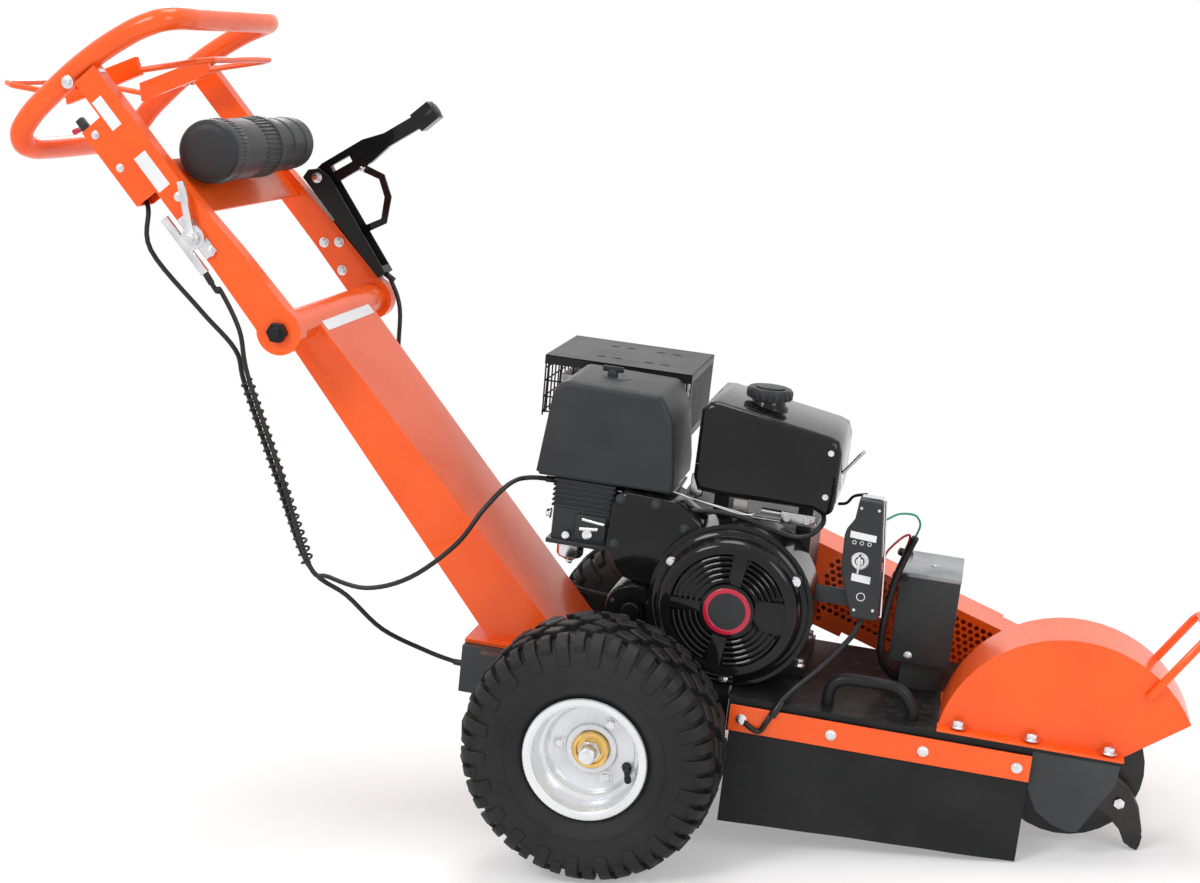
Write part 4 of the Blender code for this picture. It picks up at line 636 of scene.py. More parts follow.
def head_details():
    """Rocker cover, spark plug with its lead, and the throttle's rods and springs."""
    lean = Matrix.Translation((CRANK.x, 0, CRANK.z)) @ Matrix.Rotation(math.radians(25 - 180), 4, "Y")
    shape = bmesh.new()
    block(shape, (0.214, -0.048, -0.046), (0.24, 0.064, 0.046), 0.009, 4, lean)
    block(shape, (0.206, -0.056, -0.052), (0.217, 0.072, 0.052), 0.002, 2, lean)
    made_piece("rocker_cover", shape, GLOSS, "chassis", smooth=45)
    shape = bmesh.new()
    for y, z in ((-0.048, 0.046), (0.064, 0.046), (-0.048, -0.046), (0.064, -0.046)):
        spot = lean @ Vector((0.2165, y, z))
        out = lean.to_3x3() @ Vector((1, 0, 0))
        bolt(shape, spot, out, 0.01, 0.005, 0.0075)
    for start, end in (((-0.034, -0.124, 0.333), (0.038, -0.122, 0.327)), ((0.084, -0.124, 0.338),
                                                                         (0.178, -0.112, 0.322))):
        rod(shape, start, end, 0.0016, 8)
    tube(shape,
         [(-0.03, -0.118, 0.318), (0.02, -0.128, 0.3465), (0.084, -0.126, 0.338), (0.15, -0.12, 0.326),
                 (0.176, -0.104, 0.33)], 0.0012, 1)
    rod(shape, (0.176, -0.104, 0.333), (0.236, -0.098, 0.33), 0.0042, 12)
    made_piece("throttle_rods", shape, ZINC, "chassis")
    shape = bmesh.new()
    block(shape, (0.134, -0.108, 0.315), (0.156, -0.1, 0.346), 0.001)
    block(shape, (0.166, -0.12, 0.322), (0.256, -0.104, 0.3255), 0.001)
    block(shape, (0.206, -0.122, 0.324), (0.256, -0.119, 0.34), 0.001)
    block(shape, (0.07, -0.112, 0.34), (0.088, -0.103, 0.372), 0.001)
    for x in (0.215, 0.244):
        rod(shape, (x, -0.124, 0.331), (x, -0.116, 0.331), 0.0055, 16)
    made_piece("governor_bracket", shape, STEEL, "chassis", edge=0.0006)
    shape = bmesh.new()
    plug = lean @ Vector((0.236, -0.02, 0.02))
    tip = lean @ Vector((0.2395, -0.058, 0.04))
    rod(shape, plug, lean @ Vector((0.2385, -0.045, 0.034)), 0.0085, 16, round_off=0.002)
    tube(shape, [tip, (-0.075, -0.076, 0.248), (-0.03, -0.078, 0.228), (0.02, -0.08, 0.21)], 0.0035, 2)
    tube(shape, [(0.262, -0.1, 0.35), (0.266, -0.128, 0.33), (0.23, -0.14, 0.31), (0.12, -0.135, 0.328),
                 (-0.034, -0.128, 0.3)], 0.0038, 2)
    made_piece("plug_lead_and_fuel_hose", shape, CABLE, "chassis")


def carburettor():
    """A ribbed black body under the cleaner, a bright float bowl, and its small levers."""
    shape = bmesh.new()
    block(shape, (-0.122, -0.143, 0.249), (-0.034, -0.09, 0.345), 0.004, 3)
    for k in range(6):
        z = 0.302 + 0.0075 * k
        block(shape, (-0.1245, -0.146, z), (-0.0325, -0.0895, z + 0.0036), 0.001, 1)
    block(shape, (-0.128, -0.147, 0.246), (-0.03, -0.088, 0.2535), 0.0018, 2)
    block(shape, (-0.086, -0.148, 0.258), (-0.04, -0.14, 0.296), 0.003, 2)
    block(shape, (-0.1, -0.09, 0.268), (-0.048, -0.0705, 0.316), 0.002, 2)
    block(shape, (-0.149, -0.146, 0.345), (0.047, 0.011, 0.357), 0.003, 2)
    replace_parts(made_piece("carburettor_body", shape, MOULDED, "chassis", smooth=40),
                "carburettor")
    shape = bmesh.new()
    turned(shape, (-0.096, -0.115, 0.2465), (0, 0, -1),
           [(0, 0.0), (0, 0.0215), (0.004, 0.0215), (0.005, 0.02),
                                                         (0.02, 0.0198), (0.024, 0.017), (0.026, 0.012),
                                                         (0.03, 0.006), (0.03, 0.0)], 40, loop=False)
    bolt(shape, (-0.096, -0.115, 0.2168), (0, 0, -1), 0.009, 0.005)
    rod(shape, (-0.078, -0.146, 0.274), (-0.05, -0.152, 0.278), 0.0034, 12)
    rod(shape, (-0.076, -0.147, 0.289), (-0.042, -0.151, 0.286), 0.0026, 12)
    rod(shape, (-0.066, -0.146, 0.268), (-0.066, -0.153, 0.268), 0.0075, 20, round_off=0.001)
    rod(shape, (-0.098, -0.1455, 0.262), (-0.098, -0.1505, 0.262), 0.006, 18, round_off=0.001)
    bolt(shape, (-0.126, -0.135, 0.288), (-1, 0, 0), 0.01, 0.006, 0.008)
    made_piece("float_bowl", shape, ZINC, "chassis")


WING_NUT = (-0.071, -0.06)


def air_cleaner():
    """A soft-edged moulded cover that leans in towards its top, with a wing nut in a ringed dimple."""
    shape = bmesh.new()
    base = [(-0.153, 0.35), (0.05, 0.35), (0.05, 0.372), (0.04, 0.45), (0.021, 0.486), (-0.122, 0.4895),
            (-0.139, 0.472), (-0.15, 0.376)]
    cut_sheet(shape, [base], 0.165, upright(0.015))
    above_seam = [edge for edge in sharp_edges(shape) if any(vert.co.z >= 0.351 for vert in edge.verts)]
    soften(shape, above_seam, 0.009, 4)
    turned(shape, (*WING_NUT, 0.4877), (0, 0, 1), [(-0.003, 0.03), (0.0006, 0.028), (0.0006, 0.02),
                                                         (-0.003, 0.018)], 40)
    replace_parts(made_piece("air_cleaner_moulding", shape, MOULDED, "chassis", smooth=50),
                "air_cleaner_cover")
    shape = bmesh.new()
    x, y = WING_NUT
    rod(shape, (x, y, 0.486), (x, y, 0.498), 0.0085, 20, tip=0.007, round_off=0.001)
    block(shape, (x - 0.016, y - 0.0025, 0.494), (x + 0.016, y + 0.0025, 0.503), 0.002, 2)
    made_piece("cleaner_wing_nut", shape, MOULDED, "chassis")


CAGE_LOW, CAGE_HIGH = Vector((-0.195, 0.027, 0.375)), Vector((0.034, 0.239, 0.49))
CAGE_SHEET = 0.0016
CAGE_WIRE = 0.0013
CAGE_LIP = 0.476                             # lower edge of the top's folded lips
SLOT_LOW, SLOT_HIGH = 0.397, 0.478
SLOT_PITCH, SLOT_WIDTH = 0.0103, 0.0052


def cage_sheets(shape):
    """The guard's top with its four pairs of oval holes, its slotted end and its two lips."""
    low, high = CAGE_LOW, CAGE_HIGH
    top = [(low.x, low.y), (high.x, low.y), (high.x, high.y), (low.x, high.y)]
    holes = [ring(x + aside, y, 0.008, 12, tall=0.0034)
             for x, y in ((-0.105, 0.08), (-0.03, 0.08), (-0.105, 0.185), (-0.03, 0.185))
             for aside in (-0.014, 0.012)]
    cut_sheet(shape, [top, *holes], CAGE_SHEET, Matrix.Translation((0, 0, high.z - CAGE_SHEET)))
    starts = [low.y + 0.012 + k * SLOT_PITCH for k in range(19)]
    slots = [[(y, SLOT_LOW), (y + SLOT_WIDTH, SLOT_LOW), (y + SLOT_WIDTH, SLOT_HIGH), (y, SLOT_HIGH)]
             for y in starts]
    side = [(low.y, 0.385), (high.y, 0.385), (high.y, high.z), (low.y, high.z)]
    facing_x = Matrix(((0, 0, 1, 0), (1, 0, 0, 0), (0, 1, 0, 0), (0, 0, 0, 1)))
    cut_sheet(shape, [side, *slots], CAGE_SHEET, Matrix.Translation((high.x - CAGE_SHEET, 0, 0)) @ facing_x)
    lip = [(low.x, CAGE_LIP), (high.x, CAGE_LIP), (high.x, high.z), (low.x, high.z)]
    for y in (low.y + CAGE_SHEET, high.y):
        cut_sheet(shape, [lip], CAGE_SHEET, upright(y))


def cage_wires(shape):
    """Welded wire over the guard's other three sides, each grid on an inset of its own."""
    low, high = CAGE_LOW, CAGE_HIGH
    back = low.x + 0.003
    for k in range(10):
        y = low.y + 0.004 + k * 0.0227
        rod(shape, (back, y, 0.395), (back - 0.002, y, high.z), CAGE_WIRE, 6)
    for z in (0.402, 0.425, 0.45, 0.47):
        rod(shape, (back, low.y, z), (back, high.y, z), CAGE_WIRE, 6)
    for y in (low.y + 0.002, high.y - 0.002):
        for z in (0.402, 0.425, 0.45):
            rod(shape, (back, y, z), (high.x, y, z), CAGE_WIRE, 6)
        for k in range(12):
            x = low.x + 0.006 + k * 0.0196
            rod(shape, (x, y, 0.4), (x, y, 0.48), CAGE_WIRE, 6)


def exhaust():
    """A crimped muffler box inside a guard of slotted sheet and welded wire, held up by two posts."""
    refined("muffler", STEEL, "chassis", edge=0.006)
    shape = bmesh.new()
    cage_sheets(shape)
    for x in (-0.14, -0.02):
        rod(shape, (x, 0.135, 0.459), (x, 0.135, 0.4895), 0.006, 12)
    cage_wires(shape)
    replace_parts(made_piece("muffler_cage", shape, SATIN, "chassis", smooth=30),
                "muffler_guard")


def fuel_tank():
    """Two deep-drawn halves with a flange between them, a filler neck and a knurled cap."""
    shape = bmesh.new()
    outline = [(0.074, 0.372), (0.082, 0.352), (0.12, 0.349), (0.25, 0.349), (0.264, 0.343), (0.278, 0.343),
               (0.281, 0.372),
               (0.281, 0.436), (0.275, 0.4525), (0.262, 0.4578), (0.1, 0.485), (0.086, 0.484), (0.075, 0.47)]
    cut_sheet(shape, [outline], 0.185, upright(0.055))
    soften(shape, sharp_edges(shape, 1.2), 0.012, 5)
    block(shape, (0.0755, -0.129, 0.39), (0.2805, 0.054, 0.3935), 0.0015, 2)
    turned(shape, (0.16, -0.04, 0.464), (0, 0, 1), [(0, 0.031), (0.01, 0.03), (0.014, 0.0255),
                                                        (0.0205, 0.0245), (0.0205, 0.018), (0.0, 0.018)], 48)
    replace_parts(made_piece("tank_shell", shape, GLOSS, "chassis", smooth=55), "fuel_tank")
    shape = bmesh.new()
    cap = Vector((0.16, -0.04, 0.485))
    turned(shape, cap, (0, 0, 1), [(0.0005, 0.0), (0.0005, 0.0325), (0.013, 0.0325), (0.0155, 0.031),
                                  (0.0165, 0.028), (0.015, 0.02), (0.015, 0.0)], 60, loop=False)
    for k in range(20):
        turn = k * math.pi / 10
        spot = cap + Vector((0.0318 * math.cos(turn), 0.0318 * math.sin(turn), 0.0015))
        rod(shape, spot, spot + Vector((0, 0, 0.0115)), 0.0022, 8, round_off=0.0005)
    turned(shape, cap, (0, 0, 1), [(0.014, 0.0215), (0.0175, 0.0215), (0.018, 0.02), (0.018, 0.0)], 48,
           loop=False)
    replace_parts(made_piece("fuel_cap_knurled", shape, MOULDED, "fuel_cap", smooth=35),
                "fuel_cap")
    shape = bmesh.new()
    for x, z in ((0.266, 0.436), (0.266, 0.372)):
        rod(shape, (x, -0.1298, z), (x, -0.1312, z), 0.0045, 16, round_off=0.0004)
    block(shape, (0.2795, -0.09, 0.376), (0.283, -0.07, 0.4), 0.0008)
    rod(shape, (0.2815, -0.08, 0.398), (0.31, -0.08, 0.436), 0.0024, 10)
    rod(shape, (0.2815, -0.066, 0.396), (0.304, -0.066, 0.428), 0.0018, 10)
    made_piece("tank_fittings", shape, ZINC, "chassis")


KEY_CASE = [(0.3175, 0.39), (0.35, 0.3885), (0.359, 0.2975), (0.364, 0.2205), (0.327, 0.219),
            (0.311, 0.264), (0.305, 0.286), (0.303, 0.338), (0.314, 0.356)]
KEY_FACE = -0.1862                           # front of the case's sunk panel


def key_box():
    """The starting switch: a moulded case with a sunk panel and a keyed barrel."""
    shape = bmesh.new()
    cut_sheet(shape, [KEY_CASE], 0.0325, upright(-0.1535))
    soften(shape, sharp_edges(shape), 0.0028, 3)
    centre = sum((Vector((x, 0, z)) for x, z in KEY_CASE), Vector()) / len(KEY_CASE)
    panel = [(centre.x + (x - centre.x) * 0.86, centre.z + (z - centre.z) * 0.955) for x, z in KEY_CASE]
    cut_sheet(shape, [panel], 0.0012, upright(-0.1852))
    block(shape, (0.2712, -0.154, 0.226), (0.345, -0.149, 0.25), 0.001)
    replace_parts(made_piece("key_box_case", shape, MOULDED, "chassis", smooth=40),
                "key_switch_box")
    shape = bmesh.new()
    turned(shape, (0.329, KEY_FACE, 0.303), (0, -1, 0), [(0, 0.0125), (0.0015, 0.0125), (0.003, 0.011),
                                                       (0.003, 0.0068), (0, 0.0068)], 40)
    for x, z in ((0.33, 0.232), (0.356, 0.235), (0.3215, 0.378), (0.346, 0.378)):
        rod(shape, (x, -0.1852, z), (x, -0.1872, z), 0.0022, 12, round_off=0.0003)
    for x in (0.318, 0.3285, 0.339):
        turned(shape, (x, KEY_FACE, 0.3285), (0, -1, 0),
               [(0, 0.003), (0.0006, 0.003), (0.0006, 0.002), (0, 0.002)], 20)
    turned(shape, (0.337, KEY_FACE, 0.252), (0, -1, 0),
           [(0, 0.0062), (0.0008, 0.0062), (0.0008, 0.005), (0, 0.005)], 28)
    for (x0, z0), (x1, z1) in zip(KEY_CASE[1:3], KEY_CASE[2:4]):
        rod(shape, (x0 + 0.0028, -0.164, z0), (x1 + 0.0028, -0.164, z1), 0.0016, 8)
    block(shape, (0.32, -0.172, 0.389), (0.35, -0.16, 0.3925), 0.0008)
    made_piece("key_barrel", shape, ZINC, "chassis")
    shape = bmesh.new()
    for (x0, z0), (x1, z1), tall in (((0.3112, 0.3395), (0.3475, 0.337), 0.0095),
                                     ((0.3205, 0.279), (0.347, 0.277), 0.0105)):
        cut_sheet(shape,
                  [[(x0, z0 - tall / 2), (x1, z1 - tall / 2), (x1, z1 + tall / 2), (x0, z0 + tall / 2)]],
                  0.0005, upright(KEY_FACE - 0.0001))
    made_piece("key_box_plates", shape, PALE, "chassis")
    refined("ignition_key", ZINC, "key")


def leads():
    """A green and a red lead to the battery, and the sheathed loom down to the deck."""
    shape = bmesh.new()
    tube(shape, [(0.356, -0.14, 0.356), (0.372, -0.12, 0.362), (0.392, -0.1, 0.359), (0.401, -0.098, 0.35),
                 (0.4015, -0.095, 0.338), (0.393, -0.085, 0.31), (0.386, -0.075, 0.286),
                 (0.381, -0.07, 0.26)], 0.0016, 2)
    made_piece("green_lead", shape, GREEN, "chassis")
    shape = bmesh.new()
    tube(shape, [(0.359, -0.16, 0.3), (0.364, -0.14, 0.312), (0.379, -0.115, 0.326),
                 (0.389, -0.1, 0.329), (0.39, -0.09, 0.318), (0.384, -0.075, 0.29),
                 (0.38, -0.07, 0.256)], 0.0018, 2)
    made_piece("red_lead", shape, RED, "chassis")
    shape = bmesh.new()
    tube(shape, [(0.398, -0.092, 0.324), (0.39, -0.082, 0.298), (0.38, -0.076, 0.262),
                 (0.3735, -0.072, 0.22), (0.37, -0.07, 0.17), (0.374, -0.066, 0.13),
                 (0.385, -0.05, 0.108), (0.4, -0.03, 0.09)], 0.0055, 3)
    tube(shape, [(0.324, -0.15, 0.39), (0.306, -0.13, 0.38), (0.296, -0.11, 0.364),
                 (0.284, -0.09, 0.356)], 0.0022, 2)
    tube(shape, [(0.344, -0.168, 0.219), (0.338, -0.172, 0.204), (0.329, -0.176, 0.185),
                 (0.298, -0.183, 0.142), (0.264, -0.193, 0.105), (0.244, -0.206, 0.08),
                 (0.232, -0.216, 0.056), (0.224, -0.2165, 0.042), (0.212, -0.216, 0.044),
                 (0.202, -0.2145, 0.05)], 0.004, 2)
    rod(shape, (0.25, -0.2075, 0.088), (0.238, -0.216, 0.066), 0.0056, 12, round_off=0.0006)
    made_piece("battery_sheath", shape, CABLE, "chassis")


def battery_box():
    """A folded sheet box with an overhanging lid held by a screw and two clamps."""
    shape = bmesh.new()
    block(shape, (0.384, -0.06, 0.128), (0.4715, 0.07, 0.259), 0.0012, 2)
    for y in (-0.042, 0.046):
        block(shape, (0.402, y, 0.0833), (0.4615, y + 0.012, 0.13), 0.001)
    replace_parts(made_piece("battery_case", shape, GREY, "chassis", smooth=35), "battery_box")
    shape = bmesh.new()
    block(shape, (0.3832, -0.0608, 0.257), (0.4722, 0.0708, 0.2635), 0.0014, 2)
    made_piece("battery_lid", shape, LID, "chassis", smooth=35)
    shape = bmesh.new()
    rod(shape, (0.43, -0.004, 0.263), (0.43, -0.004, 0.2655), 0.004, 20, round_off=0.0006)
    bolt(shape, (0.411, -0.06, 0.139), (0, -1, 0), 0.008, 0.004, 0.0062)
    made_piece("battery_screws", shape, ZINC, "chassis")
    shape = bmesh.new()
    for y, z in ((-0.05, 0.252), (0.056, 0.26)):
        rod(shape, (0.385, y, z), (0.374, y - 0.004, z + 0.004), 0.0075, 16, tip=0.0055, round_off=0.0012)
        rod(shape, (0.39, y - 0.004, z + 0.002), (0.39, y - 0.014, z + 0.004), 0.006, 12, round_off=0.001)
    made_piece("lid_knobs", shape, SATIN, "chassis")
    refined("battery", MOULDED, "chassis")


recoil_starter()
fan_shroud()
head_details()
carburettor()
air_cleaner()
exhaust()
fuel_tank()
key_box()
leads()
battery_box()
refined("fan_cover", GLOSS, "chassis", edge=0.0035, smooth=40)
refined("starter_motor", SATIN, "chassis", edge=0.002)
refined("engine_block", CAST, "chassis", edge=0.002)
refined("cylinder", CAST, "chassis", edge=0.0008)


# ---------------------------------------------------------------- frame, deck and skirts
NEAR_EDGE = -0.206
GUARD_BASE = 0.0873

CAD_FINISHES = (
    ("deck", SATIN, "chassis", "black_paint", 0.0012), ("rear_frame", GREY, "chassis", "grey_paint", 0.0012),
    ("mast", ORANGE, "chassis", "orange_paint", 0.0016), ("axle", ZINC, "chassis", "zinc_plate", 0.0008),
    ("side_plate_near", GREY, "chassis", "grey_paint", 0.0008),
    ("side_plate_far", SATIN, "chassis", "black_paint", 0.0008),
    ("bearing_near", CAST, "chassis", "cast_aluminium", 0.0008),
    ("bearing_far", CAST, "chassis", "cast_aluminium", 0.0008),
    ("cutter_guard", ORANGE, "chassis", "orange_paint", 0.0012),
    ("cutter_disc", BLADE, "cutter", "black_paint", 0.001),
    ("cutter_shaft", STEEL, "cutter", "bare_steel", 0.0008),
    ("cutter_pulley", CAST, "cutter", "cast_aluminium", 0.0006),
    ("crankshaft", STEEL, "crank", "bare_steel", 0.0006),
    ("idler_arm", GREY, "idler_arm", "grey_paint", 0.0006),
    ("idler_pulley", STEEL, "idler", "bare_steel", 0.0006),
    ("drive_belt", RUBBER, "chassis", "rubber", 0.0008), ("fold_pin", SATIN, "handle", "black_paint", 0.001),
    ("cross_plate", ORANGE, "handle", "orange_paint", 0.0008),
    ("arm_near", ORANGE, "handle", "orange_paint", 0.0016),
    ("arm_far", ORANGE, "handle", "orange_paint", 0.0016), ("bail", ORANGE, "bail", "orange_paint", 0.0007),
    ("canister", MOULDED, "handle", "dark_plastic", 0.0008),
    ("throttle_body", ZINC, "handle", "zinc_plate", 0.001),
    ("throttle_lever", ZINC, "throttle_lever", "zinc_plate", 0.0006),
    ("clutch_bracket", SATIN, "handle", "black_paint", 0.0008),
    ("clutch_lever", GLOSS, "clutch_lever", "black_paint", 0.0012),
    ("clutch_link", GLOSS, "clutch_link", "grey_paint", 0.0008),
)
for node, paint, body, slot, edge in CAD_FINISHES:
    refined(node, paint, body, edge=edge)


FLAP_BACK = NEAR_EDGE - 0.0003
FLAP_START, FLAP_LENGTH = 0.18, 0.4195       # from the axle, along the deck
FLAP_TOP, FLAP_DROP, FLAP_RISE = 0.072, 0.176, 0.02
FLAP_THICK = 0.0026
FLAP_BULGE = 0.0018                          # how far its free edge hangs out


def skirts():
    """A limp rubber flap clamped behind a bolted orange strip."""
    shape = bmesh.new()
    across, down = 60, 16
    rows = []
    for i in range(across + 1):
        s = i / across
        sway = 0.0009 * math.sin(9 * s + 0.6) + 0.0006 * math.sin(23 * s + 1.1)
        x = FLAP_START + s * FLAP_LENGTH
        drop = FLAP_DROP - FLAP_RISE * s
        column = []
        for k in range(down + 1):
            t = k / down
            y = FLAP_BACK - 0.0002 - (FLAP_BULGE + sway) * t * t
            column.append(shape.verts.new((x, y, FLAP_TOP - t * drop)))
        rows.append(column)
    faces = [shape.faces.new((rows[i][k], rows[i + 1][k], rows[i + 1][k + 1], rows[i][k + 1]))
             for i in range(across) for k in range(down)]
    thicken(shape, faces, (0, -FLAP_THICK, 0))
    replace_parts(made_piece("flap_rubber", shape, RUBBER, "chassis"), "skirt_flap")
    shape = bmesh.new()
    front = FLAP_BACK - 0.0033
    strip = [(0.178, 0.073), (0.178, 0.034), (0.6005, 0.035), (0.6005, 0.073)]
    cut_sheet(shape, [strip], 0.003, upright(front))
    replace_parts(made_piece("flap_clamp_strip", shape, ORANGE, "chassis", edge=0.0008),
                "skirt_strip")
    shape = bmesh.new()
    for x in (0.196, 0.324, 0.453, 0.582):
        bolt(shape, (x, front - 0.003, 0.0535), (0, -1, 0), 0.0105, 0.0042, 0.0078)
    made_piece("flap_bolts", shape, ZINC, "chassis")


def deck_hardware():
    """Bolts along the deck's edge, the guard's feet and the engine's mounts."""
    shape = bmesh.new()
    for x in (0.495, 0.596, 0.701):
        bolt(shape, (x, -0.1935, GUARD_BASE + 0.004), (0, 0, 1), 0.013, 0.0075, 0.0115)
    for x, y in ((0.54, -0.056), (0.668, -0.056)):
        bolt(shape, (x, y, GUARD_BASE + 0.004), (0, 0, 1), 0.013, 0.0075, 0.0095)
    for x, y in ((0.255, -0.062), (0.255, 0.084)):
        bolt(shape, (x, y, 0.0973), (0, 0, 1), 0.013, 0.008, 0.0105)
    made_piece("deck_bolts", shape, ZINC, "chassis")
    shape = bmesh.new()
    y = -0.172
    tube(shape, [(0.311, y, 0.0834), (0.311, y, 0.092), (0.3112, y, 0.101), (0.3145, y, 0.112),
                 (0.323, y, 0.1205), (0.335, y, 0.1245), (0.362, y, 0.1258), (0.39, y, 0.1262),
                 (0.405, y, 0.124), (0.417, y, 0.116), (0.426, y, 0.103), (0.4308, y, 0.093),
                 (0.431, y, 0.0834)], 0.0088, 5)
    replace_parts(made_piece("lift_bar", shape, SATIN, "chassis"), "lift_handle")
    shape = bmesh.new()
    for degrees in (45, 135, 225, 315):
        spot = on_circle(CUTTER, 0.0262, degrees, 0.12)
        bolt(shape, spot, (0, 1, 0), 0.009, 0.004, 0.0062)
    bolt(shape, (0.3, 0.1278, 0.02), (0, 1, 0), 0.016, 0.006, 0.012)
    made_piece("hanger_bolts", shape, ZINC, "chassis")


def teeth():
    """Each claw gets a carbide tip brazed in its nose and a bolt through its root."""
    face = -0.1373
    for i in range(3):
        refined(f"tooth_{i + 1}", BLADE, "cutter", edge=0.0022)
        turn = (Matrix.Translation(CUTTER) @ Matrix.Rotation(-2 * math.pi * i / 3, 4, "Y"))
        shape = bmesh.new()
        tip = [(0.1005, -0.1), (0.1122, -0.1036), (0.115, -0.096), (0.1165, -0.082), (0.1085, -0.083),
               (0.104, -0.092)]
        cut_sheet(shape, [tip], 0.0195, turn @ upright(face + 0.0006))
        made_piece(f"carbide_{i + 1}", shape, CAST, "cutter", edge=0.001)
        shape = bmesh.new()
        for x, z in ((0.052, -0.018), (0.078, -0.038)):
            spot = turn @ Vector((x, face - 0.018, z))
            bolt(shape, spot, (0, -1, 0), 0.014, 0.006, 0.0)
        made_piece(f"tooth_bolts_{i + 1}", shape, ZINC, "cutter")


BELT_RUN = Vector((CUTTER.x - CRANK.x, 0, CUTTER.z - CRANK.z))
ALONG_BELT = BELT_RUN.normalized()
ABOVE_BELT = Vector((-ALONG_BELT.z, 0, ALONG_BELT.x))
COVER_STEP = 0.546                           # where the cover drops to the cutter's smaller pulley
COVER_NEAR, COVER_FAR = 0.1203, 0.212        # its two walls, from the machine's middle
COVER_SHEET = 0.002
HOLE_PITCH, ROW_PITCH, HOLE_RADIUS = 0.0112, 0.0097, 0.0044


def cover_outline(trim, steps=22):
    """The belt cover's edge, as its two runs round the engine pulley and round the cutter's."""
    lean = math.degrees(math.atan2(BELT_RUN.z, BELT_RUN.x))
    turns = [lean + 180 * k / steps for k in range(steps + 1)]
    back = [on_circle(CRANK, 0.063 - trim, turn + 90, 0) for turn in turns]
    front = [on_circle(CUTTER, 0.059 - trim, turn - 90, 0) for turn in turns]
    step = COVER_STEP - trim
    top = back[0] + ALONG_BELT * ((step - back[0].x) / ALONG_BELT.x)
    edge = front[-1] - ALONG_BELT * ((front[-1].x - step) / ALONG_BELT.x)
    return back, [*front, edge, top]


def flat(points):
    """Points on a sheet's own two axes."""
    return [(point.x, point.z) for point in points]


def cover_holes():
    """Hexagons in staggered rows between the pulleys, clear of the gap under the belt."""
    holes = []
    for row in range(-5, 6):
        for k in range(30):
            along = 0.112 + HOLE_PITCH * (k + 0.5 * (row % 2))
            spot = CRANK + ALONG_BELT * along + ABOVE_BELT * (row * ROW_PITCH)
            if spot.x < COVER_STEP - 0.012 and not (row < -3 and 0.13 < along < 0.33):
                holes.append(ring(spot.x, spot.z, HOLE_RADIUS, 6, start=math.pi / 6))
    return holes


def belt_cover():
    """A pressed cover over the belt, its near wall perforated between the pulleys."""
    shape = bmesh.new()
    back, front = cover_outline(0.0)
    bores = [ring(CRANK.x, CRANK.z, 0.032, 32), ring(CUTTER.x, CUTTER.z, 0.024, 32)]
    middle = CRANK + BELT_RUN * 0.52
    under = [middle + ALONG_BELT * along - ABOVE_BELT * below
             for along, below in ((-0.1, 0.0612), (-0.1, 0.053), (0.05, 0.053), (0.05, 0.0606))]
    cut_sheet(shape, [flat([*back, *under, *front]), *cover_holes(), *bores], COVER_SHEET,
              upright(COVER_NEAR + COVER_SHEET))
    cut_sheet(shape, [flat([*back, *front])], COVER_SHEET, upright(COVER_FAR))
    gap = [middle + ALONG_BELT * along - ABOVE_BELT * 0.0609 for along in (-0.1, 0.1)]
    inner_back, inner_front = cover_outline(COVER_SHEET)
    wall = [gap[1], *front, *back, gap[0], gap[0] + ABOVE_BELT * COVER_SHEET, *reversed(inner_back),
            *reversed(inner_front), gap[1] + ABOVE_BELT * COVER_SHEET]
    cut_sheet(shape, [flat(wall)], COVER_FAR - COVER_NEAR - 0.001, upright(COVER_FAR - 0.0005))
    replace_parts(made_piece("belt_cover", shape, ORANGE, "chassis", smooth=30), "belt_guard")
    shape = bmesh.new()
    for centre in (CRANK, CUTTER):
        for degrees in (60, 120, 240, 300):
            bolt(shape, on_circle(centre, 0.05, degrees, COVER_FAR), (0, 1, 0), 0.01, 0.005, 0.008)
    made_piece("belt_cover_bolts", shape, ZINC, "chassis")


skirts()
deck_hardware()
teeth()
belt_cover()


# ---------------------------------------------------------------- handle
ARM_SKIN = 0.2155            # outer face of each arm from the middle
CANISTER = (0.273, 0.06)    # the canister's axis, along the arms and out to their front
CLUTCH_SIDE = 0.1984         # middle of the clutch lever and its cable from the machine's middle
CLUTCH_SKIN = 0.2188         # outer face of the clutch bracket


def loop_route():
    """The loop's middle line: one side from its rear bar to its front bar, then its mirror."""
    side = [(0.447, -0.165, 0.0), (0.447, -0.165, 0.1), (0.448, -0.164, 0.15), (0.455, -0.159, 0.182),
            (0.466, -0.143, 0.195), (0.474, -0.11, 0.198), (0.477, -0.06, 0.198), (0.478, -0.01, 0.198),
            (0.474, 0.045, 0.198), (0.464, 0.099, 0.198), (0.453, 0.131, 0.194), (0.446, 0.145, 0.178),
            (0.443, 0.15, 0.148), (0.442, 0.151, 0.1), (0.442, 0.151, 0.0)]
    half = eased([arm_point(u, -y, v) for u, v, y in side], 0.034)
    return half + [Vector((p.x, -p.y, p.z)) for p in reversed(half[1:-1])]


def eased(points, reach, steps=7):
    """Straight runs joined by arcs that start this far from each corner."""
    points = [Vector(p) for p in points]
    route = [points[0]]
    for i in range(1, len(points) - 1):
        before, here, after = points[i - 1:i + 2]
        cut = min(reach, (here - before).length * 0.49, (after - here).length * 0.49)
        start = here + (before - here).normalized() * cut
        end = here + (after - here).normalized() * cut
        for k in range(steps + 1):
            t = k / steps
            route.append(start * (1 - t) ** 2 + here * (2 * t * (1 - t)) + end * t ** 2)
    route.append(points[-1])
    return [p for i, p in enumerate(route) if i == 0 or (p - route[i - 1]).length > 0.0002]


